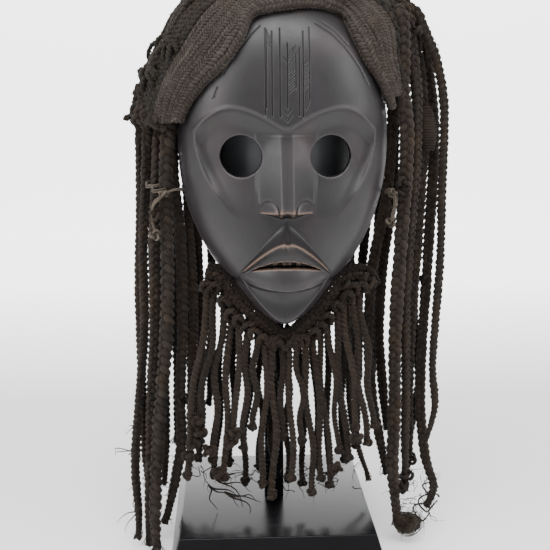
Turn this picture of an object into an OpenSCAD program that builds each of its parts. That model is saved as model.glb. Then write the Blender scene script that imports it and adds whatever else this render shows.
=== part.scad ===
// A carved wooden face mask with a plaited fibre cap, long hair braids and a
// corded beard, resting on a square black display stand.
// +X is the viewer's right, -Y is towards the viewer, +Z is up, and the origin
// is the middle of the stand's bottom face.

/* [Stand] */
// Width of the plinth's top, left to right
plinth_w = 146; // [136:1:156]
// Depth of the plinth's top, front to back
plinth_d = 150; // [140:1:160]
// Height of the plinth without its felt
plinth_h = 26; // [22:1:30]
// Lean of the plinth's four sides, degrees from upright
plinth_batter = 17; // [10:1:20]
// Thickness of the felt sheet under the plinth
felt_t = 2; // [1:0.5:3]
// Side of the square post
post_side = 15; // [12:1:18]
// Top of the post above the table
post_top = 312; // [300:1:330]
// Clearance round the post in its socket
post_fit = 0.15; // [0.1:0.05:0.3]

/* [Mask] */
// Height of the eye line above the table
eye_z = 305; // [305:1:310]
// Mask's centre line, to the right of the post
mask_x = 6; // [4:1:8]
// Back plane of the rim, in front of the post's middle
rim_y = -15; // [-17:1:-15]
// Greatest half width of the face
face_half_w = 77; // [75:1:78]
// Depth of the face in front of the rim plane
face_depth = 48; // [46:1:50]
// Thickness of the carved wall
wall = 9; // [8:1:10]
// Radius of an eye hole
eye_r = 14.5; // [13:0.5:15]
// Distance from the centre line to an eye hole's centre
eye_x = 31.5; // [30:0.5:33]
// Radius of the holes that the lashings pass through
lash_r = 2.2; // [2:0.1:2.5]

/* [Cap, braids and beard] */
// Thickness of the net under the cap's plaited bands
net_t = 2; // [1.5:0.5:2.5]
// Diameter of the rolled edge at the hairline
edge_d = 9; // [8:0.5:10]
// Half thickness of a plaited band
band_b = 4.5; // [4:0.5:5]
// Diameter of a beard cord
beard_d = 5; // [4:0.5:5.5]

/* [Hidden] */
// Hair braids on each side: diameter, then the points that the braid follows
left_braids = [
    [8, [[-94,-10,314], [-96,-9,280], [-99,-9,235], [-100,-10,170], [-106,-12,110],
        [-110,-14,60], [-108,-20,24], [-107,-34,7]]],
    [9, [[-85,-13,317], [-87,-15,288], [-90,-15,240], [-92,-16,170], [-96,-15,115],
        [-98,-16,60], [-99,-26,24], [-98,-44,7]]],
    [11, [[-78,-26,316], [-80,-26,275], [-80,-26,225], [-82,-27,170], [-88,-29,112],
        [-92,-32,60], [-93,-44,24], [-90,-62,8]]],
    [9, [[-75,-9,317], [-75,-11,288], [-71,-14,245], [-70,-19,180], [-73,-21,120],
        [-73,-23,82], [-80,-24,44], [-87,-26,16]]],
    [8, [[-68,-2,322], [-66,-2,285], [-64,-7,240], [-62,-10,190], [-64,-11,130], [-67,-10,76]]],
    [8, [[-59,2,322], [-58,1,280], [-58,0,230], [-57,0,160], [-60,2,105], [-64,6,72]]],
    [7, [[-52,14,322], [-51,14,270], [-48,14,210], [-49,14,150], [-52,16,98]]],
    [8, [[-86,0,320], [-87,0,280], [-89,0,225], [-86,-2,150], [-86,-4,90], [-88,-6,40]]],
    [8, [[-100,2,316], [-101,2,270], [-104,1,200], [-104,0,130], [-103,-2,70], [-100,-6,28]]],
    [9, [[-76,6,322], [-76,7,270], [-77,7,200], [-76,7,130], [-78,6,70]]],
    [9, [[-92,16,320], [-93,16,260], [-94,16,190], [-94,15,120], [-95,14,62]]],
    [8, [[-66,20,322], [-66,20,260], [-67,20,190], [-66,20,126], [-68,20,86]]]
];
right_braids = [
    [8, [[107,-14,396], [119,-13,370], [126,-12,335], [127,-10,275], [128,-9,225],
        [126,-9,170], [125,-10,135], [127,-14,104], [119,-21,78]]],
    [11, [[93,-26,343], [96,-26,318], [96,-25,286], [94,-24,235], [92,-23,170],
        [93,-24,105], [92,-28,60], [96,-36,16]]],
    [9, [[101,-18,366], [104,-18,342], [105,-17,300], [103,-15,250], [101,-15,190],
        [103,-16,120], [103,-20,74], [104,-24,38]]],
    [9, [[104,-6,386], [110,-6,350], [113,-6,312], [112,-5,280], [111,-4,235],
        [108,-4,165], [108,-2,115], [109,-4,68], [105,-8,30]]],
    [8, [[104,7,386], [109,8,345], [111,8,290], [111,8,230], [113,8,170],
        [118,8,130], [118,8,108], [112,8,72], [108,6,34]]],
    [9, [[91,4,342], [92,4,318], [92,4,270], [86,4,215], [84,3,165], [88,2,115], [92,1,80]]],
    [9, [[88,-8,341], [88,-8,312], [85,-7,268], [76,-6,215], [74,-6,160],
        [78,-8,110], [84,-8,80], [91,-8,46]]],
    [8, [[79,10,340], [77,10,300], [72,8,240], [68,8,180], [70,9,120]]],
    [8, [[70,16,336], [66,16,290], [62,16,230], [62,16,170], [64,16,104]]],
    [9, [[101,17,342], [103,17,312], [102,16,250], [102,16,180], [100,15,110], [102,12,56]]],
    [8, [[82,21,340], [84,20,290], [84,20,220], [82,20,150], [82,20,92]]],
    [9, [[115,1,372], [121,1,332], [122,0,290], [121,1,240], [120,1,200], [118,-1,150],
        [118,-3,100], [122,-10,60], [128,-16,38], [121,-24,24]]],
    [6, [[66,0,318], [62,-2,270], [58,-4,215], [58,-6,150], [62,-8,90], [76,-16,44]]]
];
// Beard cords: x at the band, half way down and at the tip, and the tip's height
beard_front = [
    [-51,-60,-68,62], [-45,-52,-58,90], [-39,-45,-48,74], [-33,-38,-40,60], [-27,-31,-32,94],
    [-21,-24,-25,84], [-15,-16,-18,100], [-9,-9,-11,54], [-3,-2,-4,44], [3,5,4,92],
    [9,12,11,58], [15,18,19,88], [21,25,27,46], [27,31,34,58], [33,37,41,52],
    [39,43,48,80], [45,49,55,74], [51,55,60,98], [57,62,69,86], [63,67,74,100]
];
beard_back = [
    [-47,-53,-60,70], [-38,-43,-48,56], [-29,-33,-36,66], [-20,-22,-24,50], [-11,-12,-13,62], [-2,-2,-3,40],
    [8,9,10,52], [18,20,21,48], [28,30,32,62], [38,40,43,54], [48,51,54,66], [58,60,63,78]
];
// Middle line of the beard's plaited band, from the left end round the chin
beard_route = [
    [-50,-27,217], [-40,-30,214], [-33,-31,202], [-21,-35,190], [-9,-36,180], [6,-36,173],
    [21,-36,179], [33,-33,190], [43,-31,203], [53,-28,213], [65,-26,214], [71,-27,205]
];
// Hairline and the cap's outer outline: radius at each angle round cap_v
cap_v = 30;
hairline_r = [[-95,72], [-75,62], [-60,56], [-45,55], [-30,60], [-20,69], [0,70], [20,75],
    [32,77], [45,69], [60,66], [75,69], [98,77]];
cap_r = [[-95,104], [-60,98], [-40,103], [0,104], [25,109], [46,115], [54,111], [64,95], [75,91], [98,91]];
// How far round the head each plaited band lies, in degrees from the hairline
band_at = [25, 47, 70, 93, 116];
band_step = 23;
cap_back_w = -8;
net_gap = 2;
roll_gap = 0.3;

// Names of every node
function pad2(i) = i < 10 ? str("0", i) : str(i);
band_names = [for (i = [1:len(band_at)]) str("cap_band_", i)];
left_names = [for (i = [1:len(left_braids)]) str("hair_braid_left_", pad2(i))];
right_names = [for (i = [1:len(right_braids)]) str("hair_braid_right_", pad2(i))];

wood_black = "#3a3334";
fibre = "#57493d";
fibre_pale = "#7a6a58";
lacquer = "#17171a";
steel_grey = "#3c3e42";
felt_black = "#202020";

plinth_z = felt_t;
plinth_top = felt_t + plinth_h;
socket_z = plinth_top - 14;
arm_z = 291;
arm_h = 12;
plate_r = 50;
plate_t = 3;
plate_front_w = 25;
plate_z0 = 262;
plate_z1 = 352;
plate_y = rim_y - plate_front_w + plate_r;
rod_r = 2;
rod_h = 66;
side_hole_v = -27;
side_hole_w = 9;
chin_hole_u = 41;
chin_hole_v = -88;
chin_hole_w = 11;
mask_rows = 44;
mask_cols = 30;

// ---- shape of the face -------------------------------------------------

// u runs across the face, v up from the eye line, w forward from the rim plane
chin_v = -126;
crown_v = 110;
widest_v = 10;
brow_peak_u = 38;
brow_peak_v = 33;
chin_back = 10;

function clamp01(x) = min(max(x, 0), 1);
function ease(x) = let (t = clamp01(x)) t * t * (3 - 2 * t);

// Half width of the face's outline at height v
function half_width(v) =
    v > widest_v ? face_half_w * sqrt(max(0, 1 - pow((v - widest_v) / (crown_v - widest_v), 2.2)))
    : let (t = (widest_v - v) / (widest_v - chin_v))
      face_half_w * pow(max(0, 1 - pow(t, 2.3)), 0.85) - 5 * exp(-pow((v + 95) / 5, 2));

// Depth along the centre line, from crown to chin
function centre_depth(v) =
    let (t = (v + 8) / 118)
    (face_depth - chin_back * ease((-60 - v) / 60)) * sqrt(max(0, 1 - pow(abs(t), t > 0 ? 4 : 36)));

function dome(u, v) =
    let (a = min(abs(u) / max(half_width(v), 0.01), 1))
    centre_depth(v) * pow(1 - pow(a, 2.6), 0.55);

// Lower edge of the brow at distance a from the centre line
function brow_v(a) = brow_peak_v - (a < brow_peak_u ? 16 * pow((brow_peak_u - a) / brow_peak_u, 1.6)
    : 14 * pow((a - brow_peak_u) / 25, 2));

// Eye sockets sink behind the brow and run out down the cheeks
function socket(a, v) = 6 * ease((brow_v(a) + 3 - v) / 9)
    * ease((65.8 - 0.0075 * pow(max(18 - v, 0), 2) - a) / 9) * ease((v + 42) / 50);

// Straight nose, widening to its wings, with a flat underside
function nose_half(v) = 5 + 15 * pow(clamp01((16 - v) / 54), 1.5);
function nose(a, v) = (9 + 11 * clamp01((12 - v) / 50)) * ease((nose_half(v) - a) / (nose_half(v) - 3))
    * ease((v + 41) / 2.5) * ease((20 - v) / 14);

// Mouth: a pyramid that rises to the lips, and a slit between them
function muzzle(a, v) = let (s = pow(a / 44, 1.4) + pow(abs(v + 73) / 34, 1.4)) 13 * clamp01(1 - s);
function slit(a, v) = 5 * ease((1 - pow(a / 26, 2) - abs(v + 74) / 4) * 2);
function chin_facet(a, v) = 7 * ease((-92 - 0.004 * a * a * 6 - v) / 4) * ease((v + 124) / 6);

function face_w(u, v) = let (a = abs(u), side = dome(u, v), edge = ease(side / 12))
    side + edge * (nose(a, v) - socket(a, v) + muzzle(a, v) - slit(a, v) - chin_facet(a, v));

// A grid over the face: rows bunch towards crown and chin, k is the inset
function row_v(i, k) = let (hi = crown_v - k, lo = chin_v + k)
    (hi + lo) / 2 + (hi - lo) / 2 * cos(180 * i / mask_rows);
function grid_pt(i, j, k) = let (v = row_v(i, k), h = half_width(v) * (1 - k / face_half_w) - k * 0.1,
    t = sin(90 * (2 * j / mask_cols - 1))) [max(h, 0.2) * t, v];
function outer_pt(i, j) = let (p = grid_pt(i, j, 0)) [p.x, p.y, face_w(p.x, p.y)];
function inner_pt(i, j) = let (p = grid_pt(i, j, wall), q = grid_pt(i, j, 0))
    [p.x, p.y, max(0, min(dome(q.x, q.y) * 0.8, face_w(q.x, q.y) - wall + 1))];
function to_world(p) = [mask_x + p.x, rim_y - p.z, eye_z + p.y];

// The wall as one closed skin: the front, the hollow and the flat rim between
module carved_shell() {
    m = mask_cols;
    n = mask_rows;
    layer = 2 + (n - 1) * (m + 1);
    function id(s, i, j) = s * layer + (i == 0 ? 0 : i == n ? layer - 1 : 1 + (i - 1) * (m + 1) + j);
    function skin(s) = [for (i = [0:n], j = i == 0 || i == n ? [m / 2] : [0:m])
        to_world(s == 0 ? outer_pt(i, j) : inner_pt(i, j))];
    function cells(s) = [for (i = [0:n - 1], j = [0:m - 1])
        let (a = id(s, i, j), b = id(s, i, j + 1), c = id(s, i + 1, j + 1), d = id(s, i + 1, j))
        each (i == 0 ? [[a, c, d]] : i == n - 1 ? [[a, b, c]] : [[a, b, c], [a, c, d]])];
    function flip(f) = [for (t = f) [t[2], t[1], t[0]]];
    rim = [for (i = [0:n - 1], j = [0, m])
        let (a = id(0, i, j), b = id(0, i + 1, j), c = id(1, i + 1, j), d = id(1, i, j),
            q = [[a, b, c], [a, c, d]])
        each (j == 0 ? q : flip(q))];
    polyhedron(concat(skin(0), skin(1)), concat(cells(0), flip(cells(1)), rim), convexity = 8);
}

// ---- swept shapes ------------------------------------------------------

function unit(a) = a / norm(a);
// A smooth curve through the points of p, n steps to each stretch
function curve(p, n) = [for (i = [0:len(p) - 2], k = [0:n - 1])
    let (t = k / n, a = p[max(i - 1, 0)], b = p[i], c = p[i + 1], d = p[min(i + 2, len(p) - 1)])
    0.5 * (2 * b + t * (c - a) + t * t * (2 * a - 5 * b + 4 * c - d) + t * t * t * (3 * b - a - 3 * c + d)),
    p[len(p) - 1]];
function tangent(p, i) = unit(p[min(i + 1, len(p) - 1)] - p[max(i - 1, 0)]);

// A closed skin from a list of rings that all have the same number of points
module skin_rings(rings) {
    n = len(rings[0]);
    last = len(rings) - 1;
    sides = [for (i = [0:last - 1], k = [0:n - 1])
        let (a = i * n + k, b = i * n + (k + 1) % n) each [[a, b, b + n], [a, b + n, a + n]]];
    polyhedron([for (r = rings) each r], concat(sides, [[for (k = [n - 1:-1:0]) k]],
        [[for (k = [0:n - 1]) last * n + k]]), convexity = 6);
}

// A round cord along p; ref is a direction that the cord never runs along
module cord(p, d, sides = 8, ref = [0, 1, 0]) {
    skin_rings([for (i = [0:len(p) - 1])
        let (t = tangent(p, i), x = unit(cross(t, ref)), y = cross(t, x))
        [for (k = [0:sides - 1]) p[i] - d / 2 * (cos(360 * k / sides) * x - sin(360 * k / sides) * y)]]);
}

// ---- the cap -----------------------------------------------------------

// A point of the cap: angle round the face, angle back from the hairline,
// and the distance below the bands' middle
function hair_w(th, r) = dome(r * sin(th), cap_v + r * cos(th));
function cap_pt(th, back, under) =
    let (h = lookup(th, hairline_r), r1 = lookup(th, cap_r),
        fall = (hair_w(th, h - 2) - hair_w(th, h + 2)) / 4,
        off = (edge_d / 2 + roll_gap) / norm([1, fall]),
        r0 = h + off * fall, w0 = hair_w(th, h) + off,
        r = r0 + (r1 - r0) * sin(back) - under * sin(back),
        w = cap_back_w + (w0 - cap_back_w) * cos(back) - under * cos(back))
    to_world([r * sin(th), cap_v + r * cos(th), w]);

band_ends = [[-95, 82], [-95, 82], [-95, 53], [-95, 52], [-95, 51]];

module cap_band(i) {
    steps = 18;
    back = band_at[i];
    a0 = band_ends[i][0];
    a1 = band_ends[i][1];
    color(i == 0 ? fibre_pale : fibre) skin_rings([for (s = [0:steps])
        let (th = a0 + (a1 - a0) * s / steps, p = cap_pt(th, back, 0),
            across = cap_pt(th, back + band_step / 2, 0) - cap_pt(th, back - band_step / 2, 0),
            half = norm(across) * 0.44, x = unit(across),
            along = unit(cap_pt(th + 1, back, 0) - cap_pt(th - 1, back, 0)), y = unit(cross(x, along)))
        [for (k = [0:7]) p + half * cos(45 * k) * x + band_b * sin(45 * k) * y]]);
}

module cap_edge_roll() {
    color(fibre_pale) cord([for (th = [-95:9.1:88]) cap_pt(th, 0, 0)], edge_d, ref = [0.01, 1, 0]);
}

module cap_net() {
    rows = 20;
    cols = 7;
    function th(i) = -94 + 174 * i / rows;
    function back(j) = 24 + 96 * j / cols;
    u0 = band_b + net_gap;
    color(fibre) skin_rings([for (i = [0:rows]) concat(
        [for (j = [0:cols]) cap_pt(th(i), back(j), u0)],
        [for (j = [cols:-1:0]) cap_pt(th(i), back(j), u0 + net_t)])]);
}

// ---- the stand ---------------------------------------------------------

module plinth() {
    foot = 2 * plinth_h * tan(plinth_batter);
    color(lacquer) difference() {
        translate([-(plinth_w + foot) / 2, -(plinth_d + foot) / 2, plinth_z])
            cube([plinth_w + foot, plinth_d + foot, plinth_h]);
        for (side = [0, 1]) mirror([side, 0, 0]) translate([plinth_w / 2, 0, plinth_top])
            rotate([0, -plinth_batter, 0]) translate([0, -150, -60]) cube([60, 300, 120]);
        for (side = [0, 1]) mirror([0, side, 0]) translate([0, plinth_d / 2, plinth_top])
            rotate([plinth_batter, 0, 0]) translate([-150, 0, -60]) cube([300, 60, 120]);
        s = post_side + 2 * post_fit;
        translate([-s / 2, -s / 2, socket_z]) cube([s, s, 30]);
        translate([0, 0, plinth_z - 1]) cylinder(d = 6.6, h = 40, $fn = 32);
        translate([0, 0, plinth_z - 1]) cylinder(d = 13, h = 7, $fn = 32);
    }
}

module plinth_felt() {
    foot = 2 * plinth_h * tan(plinth_batter) - 6;
    color(felt_black) translate([-(plinth_w + foot) / 2, -(plinth_d + foot) / 2, 0])
        cube([plinth_w + foot, plinth_d + foot, felt_t]);
}

module post() {
    color(lacquer) difference() {
        translate([-post_side / 2, -post_side / 2, socket_z])
            cube([post_side, post_side, post_top - socket_z]);
        translate([0, 0, socket_z - 1]) cylinder(d = 6.1, h = 22, $fn = 32);
        translate([0, 0, arm_z]) rotate([90, 0, 0]) cylinder(d = 5.2, h = 40, center = true, $fn = 32);
    }
}

module post_screw() {
    color(steel_grey) translate([0, 0, plinth_z + 0.5]) {
        cylinder(d = 12, h = 5, $fn = 32);
        cylinder(d = 6, h = 26, $fn = 32);
    }
}

// Short arm from the post's front face to the plate inside the mask
module cradle_arm() {
    back = -post_side / 2;
    front = plate_y - plate_r + plate_t + 0.5;
    color(lacquer) difference() {
        translate([-7, front, arm_z - arm_h / 2]) cube([20, back - front, arm_h]);
        translate([0, back + 1, arm_z]) rotate([90, 0, 0]) cylinder(d = 5.1, h = 16, $fn = 32);
    }
}

module arm_screw() {
    color(steel_grey) translate([0, post_side / 2, arm_z]) rotate([90, 0, 0]) {
        translate([0, 0, -3]) cylinder(d = 9, h = 3, $fn = 32);
        cylinder(d = 5, h = 27, $fn = 32);
    }
}

// Curved grey plate behind the eyes
module cradle_plate() {
    color(steel_grey) translate([mask_x, plate_y, plate_z0]) intersection() {
        difference() {
            cylinder(r = plate_r, h = plate_z1 - plate_z0, $fn = 96);
            translate([0, 0, -1]) cylinder(r = plate_r - plate_t, h = plate_z1 - plate_z0 + 2, $fn = 96);
        }
        translate([-49, -plate_r - 1, 0]) cube([98, 42, plate_z1 - plate_z0]);
    }
}

// Felt discs on the plate's face
module cradle_pads() {
    color(felt_black) for (z = [plate_z0 + 12, plate_z1 - 12])
        translate([mask_x, plate_y - plate_r + 0.2, z]) rotate([90, 0, 0])
            cylinder(d = 12, h = 3, $fn = 32);
}

// Two rods rise from the plate and bear on the hollow's forehead
module forehead_rods() {
    color(steel_grey) for (side = [-1, 1])
        translate([mask_x + side * 16, plate_y - plate_r + 7.6, plate_z1 - 30]) {
        cylinder(r = rod_r, h = rod_h, $fn = 24);
        translate([0, 0, rod_h]) sphere(r = 4, $fn = 24);
    }
}

// ---- the mask ----------------------------------------------------------

module mask_face() {
    color(wood_black) difference() {
        carved_shell();
        for (side = [-1, 1]) translate([mask_x + side * eye_x, rim_y, eye_z])
            rotate([90, 0, 0]) cylinder(r = eye_r, h = 100, $fn = 64);
        for (side = [-1, 1]) {
            translate([mask_x + side * 74, rim_y - side_hole_w, eye_z + side_hole_v])
                rotate([0, 90, 0]) cylinder(r = lash_r, h = 40, center = true, $fn = 24);
            translate([mask_x + side * chin_hole_u, rim_y - chin_hole_w, eye_z + chin_hole_v])
                rotate([0, side * 125, 0]) cylinder(r = lash_r, h = 30, center = true, $fn = 24);
        }
    }
}

// Pale cords through the rim that hold the side braids against the face
module side_tie(points) {
    color(fibre_pale) cord(curve(points, 2), 3);
}
module side_tie_left() {
    side_tie([[-68,-24,279], [-72,-31,280], [-81,-34,277], [-89,-31,269], [-90,-29,258], [-88,-33,247]]);
}
module side_tie_right() {
    side_tie([[82,-20,276], [84,-28,278], [88,-32,272], [86,-33,263], [85,-31,255]]);
}

// Short cords through the chin's rim that hold the beard's band
module beard_lashings() {
    color(fibre_pale) {
        cord(curve([[-27,-26,223], [-35,-26,217], [-41,-30,212]], 3), 3);
        cord(curve([[39,-26,223], [47,-26,217], [52,-29,213]], 3), 3);
    }
}

module beard_band() {
    color(fibre_pale) cord(curve(beard_route, 2), 11);
}

// Height of the band's middle at x
function band_z(x) = lookup(x, [for (p = beard_route) [p.x, p.z]]);
function band_y(x) = lookup(x, [for (p = beard_route) [p.x, p.y]]);

// Cords from the band: off is their place in front of its middle, y1 the tip's
module beard_row(list, off, y1) {
    color(fibre) for (c = list) {
        z0 = band_z(c[0]) - 9.6 * norm([1, (band_z(c[0] + 2) - band_z(c[0] - 2)) / 4]);
        y0 = band_y(c[0]) + off;
        cord(curve([[c[0], y0, z0], [c[0] * 0.6 + c[1] * 0.4, (y0 + y1) / 2, z0 * 0.75 + c[3] * 0.25],
            [c[1], y1, (z0 + c[3]) / 2], [c[2], y1, c[3]]], 2), beard_d);
    }
}
module beard_cords_left() {
    beard_row([for (i = [0:6]) beard_front[i]], -3.5, -45);
}
module beard_cords_middle() {
    beard_row([for (i = [7:12]) beard_front[i]], -3.5, -45);
}
module beard_cords_right() {
    beard_row([for (i = [13:19]) beard_front[i]], -3.5, -45);
}
module beard_cords_back() {
    beard_row(beard_back, 3.5, -31);
}

module hair_braid(b) {
    color(fibre) cord(curve(b[1], 2), b[0]);
}

plinth();
plinth_felt();
post();
post_screw();
cradle_arm();
arm_screw();
cradle_plate();
cradle_pads();
forehead_rods();
mask_face();
cap_net();
cap_edge_roll();
for (i = [0:len(band_at) - 1]) cap_band(i);
side_tie_left();
side_tie_right();
beard_lashings();
beard_band();
beard_cords_left();
beard_cords_middle();
beard_cords_right();
beard_cords_back();
for (i = [0:len(left_braids) - 1]) hair_braid(left_braids[i]);
for (i = [0:len(right_braids) - 1]) hair_braid(right_braids[i]);
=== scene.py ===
import math

import bpy
import numpy as np
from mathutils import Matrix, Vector


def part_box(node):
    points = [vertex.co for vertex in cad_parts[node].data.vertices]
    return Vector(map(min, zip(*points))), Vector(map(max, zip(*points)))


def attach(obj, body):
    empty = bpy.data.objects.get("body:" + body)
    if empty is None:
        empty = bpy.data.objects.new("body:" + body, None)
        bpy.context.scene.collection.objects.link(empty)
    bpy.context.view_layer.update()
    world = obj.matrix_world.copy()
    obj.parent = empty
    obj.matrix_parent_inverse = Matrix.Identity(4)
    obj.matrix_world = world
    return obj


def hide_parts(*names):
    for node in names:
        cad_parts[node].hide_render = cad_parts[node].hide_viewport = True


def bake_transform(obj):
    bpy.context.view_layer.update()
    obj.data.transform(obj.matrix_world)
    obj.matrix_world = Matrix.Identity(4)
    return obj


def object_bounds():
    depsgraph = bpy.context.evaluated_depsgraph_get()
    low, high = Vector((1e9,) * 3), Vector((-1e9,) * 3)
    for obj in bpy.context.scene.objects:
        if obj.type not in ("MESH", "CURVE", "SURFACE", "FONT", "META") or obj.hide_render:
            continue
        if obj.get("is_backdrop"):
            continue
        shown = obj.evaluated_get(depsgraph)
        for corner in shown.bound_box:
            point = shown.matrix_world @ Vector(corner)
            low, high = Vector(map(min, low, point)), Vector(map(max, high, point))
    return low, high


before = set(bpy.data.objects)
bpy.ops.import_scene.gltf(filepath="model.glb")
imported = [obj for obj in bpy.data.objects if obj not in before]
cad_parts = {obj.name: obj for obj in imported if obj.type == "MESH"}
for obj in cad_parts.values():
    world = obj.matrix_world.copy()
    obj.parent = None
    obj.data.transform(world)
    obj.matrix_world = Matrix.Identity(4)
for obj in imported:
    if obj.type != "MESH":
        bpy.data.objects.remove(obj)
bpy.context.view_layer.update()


# ---------------------------------------------------------------------------
# Camera: a 59 mm lens at the mask's own height, a little to the left and
# looking 12 degrees down, so that the plinth's top shows.

camera_lens = 58.9
camera_place = Vector((-0.0347, -0.6821, 0.3545))
camera_pitch = math.radians(12)
camera_turn = math.radians(-3)

bpy.ops.object.select_all(action="DESELECT")
bpy.ops.object.camera_add(location=camera_place,
                          rotation=(math.pi / 2 - camera_pitch, 0, camera_turn))
camera = bpy.context.object
camera.name = "camera"
camera.data.lens = camera_lens
camera.data.sensor_width = 36
camera.data.clip_start = 0.01
bpy.context.scene.camera = camera


# ---------------------------------------------------------------------------
# Studio: one pale paper sweep that is floor and backdrop, two large soft
# boxes at the sides and one above, in a pale room. The paper glows at the back.

sweep_half_width = 2.6
sweep_depth = 2.2
sweep_height = 2.4
sweep_bend = 0.7
# The glow starts this far behind the mask and is full at the second distance
glow_from, glow_to, glow_strength = 0.3, 0.9, 2.4
room_strength = 0.85


def linear(code):
    """An sRGB colour such as "#8a7f70" as a linear RGBA colour."""
    parts = [int(code[i:i + 2], 16) / 255 for i in (1, 3, 5)]
    return tuple(c / 12.92 if c < 0.04045 else ((c + 0.055) / 1.055) ** 2.4 for c in parts) + (1,)


def add_node(tree, kind, settings=None, **inputs):
    """Adds a node. An input is a value, or the output of another node to link."""
    node = tree.nodes.new(kind)
    for key, value in (settings or {}).items():
        setattr(node, key, value)
    for key, value in inputs.items():
        socket = node.inputs[int(key[1:])] if key[1:].isdigit() else node.inputs[key.replace("_", " ")]
        if isinstance(value, bpy.types.NodeSocket):
            tree.links.new(value, socket)
        else:
            socket.default_value = value
    return node


def new_material(name):
    """An empty node material, its tree, its Principled shader and its output's coordinates."""
    material = bpy.data.materials.new(name)
    material.use_nodes = True
    tree = material.node_tree
    tree.nodes.clear()
    shader = add_node(tree, "ShaderNodeBsdfPrincipled")
    output = add_node(tree, "ShaderNodeOutputMaterial")
    tree.links.new(shader.outputs["BSDF"], output.inputs["Surface"])
    place = add_node(tree, "ShaderNodeTexCoord")
    return material, tree, shader, place


def deselect_all():
    """Leaves no object selected."""
    bpy.ops.object.select_all(action="DESELECT")


def pick_only(obj):
    """Selects one object and makes it the active one."""
    deselect_all()
    obj.select_set(True)
    bpy.context.view_layer.objects.active = obj


deselect_all()
bpy.ops.mesh.primitive_plane_add(size=2, location=(0, 0, 0))
paper = bpy.context.object
paper.name = "paper_sweep"
paper.scale = (sweep_half_width, sweep_depth, 1)
bpy.ops.object.transform_apply(location=False, rotation=False, scale=True)
bpy.ops.object.mode_set(mode="EDIT")
bpy.ops.mesh.select_all(action="DESELECT")
bpy.ops.object.mode_set(mode="OBJECT")
for edge in paper.data.edges:
    edge.select = all(paper.data.vertices[v].co.y > 0 for v in edge.vertices)
bpy.ops.object.mode_set(mode="EDIT")
bpy.ops.mesh.select_mode(type="EDGE")
bpy.ops.mesh.extrude_region_move(TRANSFORM_OT_translate={"value": (0, 0, sweep_height)})
bpy.ops.object.mode_set(mode="OBJECT")
corner = paper.modifiers.new("bend", "BEVEL")
corner.width, corner.segments, corner.limit_method = sweep_bend, 16, "ANGLE"
bpy.ops.object.modifier_apply(modifier=corner.name)
bpy.ops.object.shade_smooth()

paper_white, tree, shader, place = new_material("matt_paper_white")
tooth = add_node(tree, "ShaderNodeTexNoise", {}, Vector=place.outputs["Object"], Scale=900, Detail=2)
paper_tone = add_node(tree, "ShaderNodeMix", {"data_type": "RGBA"}, _0=tooth.outputs[0],
                      _6=linear("#fbfbfa"), _7=linear("#f8f8f7"))
tree.links.new(paper_tone.outputs[2], shader.inputs["Base Color"])
shader.inputs["Roughness"].default_value = 0.9
shader.inputs["Specular IOR Level"].default_value = 0.1
# The far paper is lit from behind, so that it stays white
distance = add_node(tree, "ShaderNodeSeparateXYZ", {}, Vector=place.outputs["Object"])
glow = add_node(tree, "ShaderNodeMapRange", {}, Value=distance.outputs[1], From_Min=glow_from,
                From_Max=glow_to, To_Min=0, To_Max=glow_strength)
tree.links.new(glow.outputs[0], shader.inputs["Emission Strength"])
shader.inputs["Emission Color"].default_value = linear("#fdfdff")
paper.data.materials.append(paper_white)
paper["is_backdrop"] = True

world = bpy.data.worlds.new("studio")
world.use_nodes = True
bpy.context.scene.world = world
world.node_tree.nodes["Background"].inputs[0].default_value = linear("#f4f4f6")
world.node_tree.nodes["Background"].inputs[1].default_value = room_strength

# name, place, what it points at, width, height, watts
soft_boxes = [
    ("soft_box_left", (-0.95, -0.50, 0.85), (0, 0, 0.33), 0.7, 1.1, 12),
    ("soft_box_right", (0.95, -0.45, 0.85), (0, 0, 0.33), 0.7, 1.1, 9),
    ("soft_box_top", (0.0, -0.55, 1.25), (0, 0, 0.30), 0.9, 0.5, 12),
]
for name, spot, aim, wide, high, watts in soft_boxes:
    deselect_all()
    bpy.ops.object.light_add(type="AREA", location=spot)
    lamp = bpy.context.object
    lamp.name = name
    lamp.data.shape, lamp.data.size, lamp.data.size_y = "RECTANGLE", wide, high
    lamp.data.energy = watts
    lamp.rotation_euler = (Vector(aim) - Vector(spot)).to_track_quat("-Z", "Y").to_euler()


# ---------------------------------------------------------------------------
# Plinth: a block of board with four sloping sides, sprayed with black
# lacquer and polished. A square post of the same finish stands in its middle.

edge_round = 0.0009
# How far the plinth's sides lean in, in degrees
plinth_lean = 17


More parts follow.
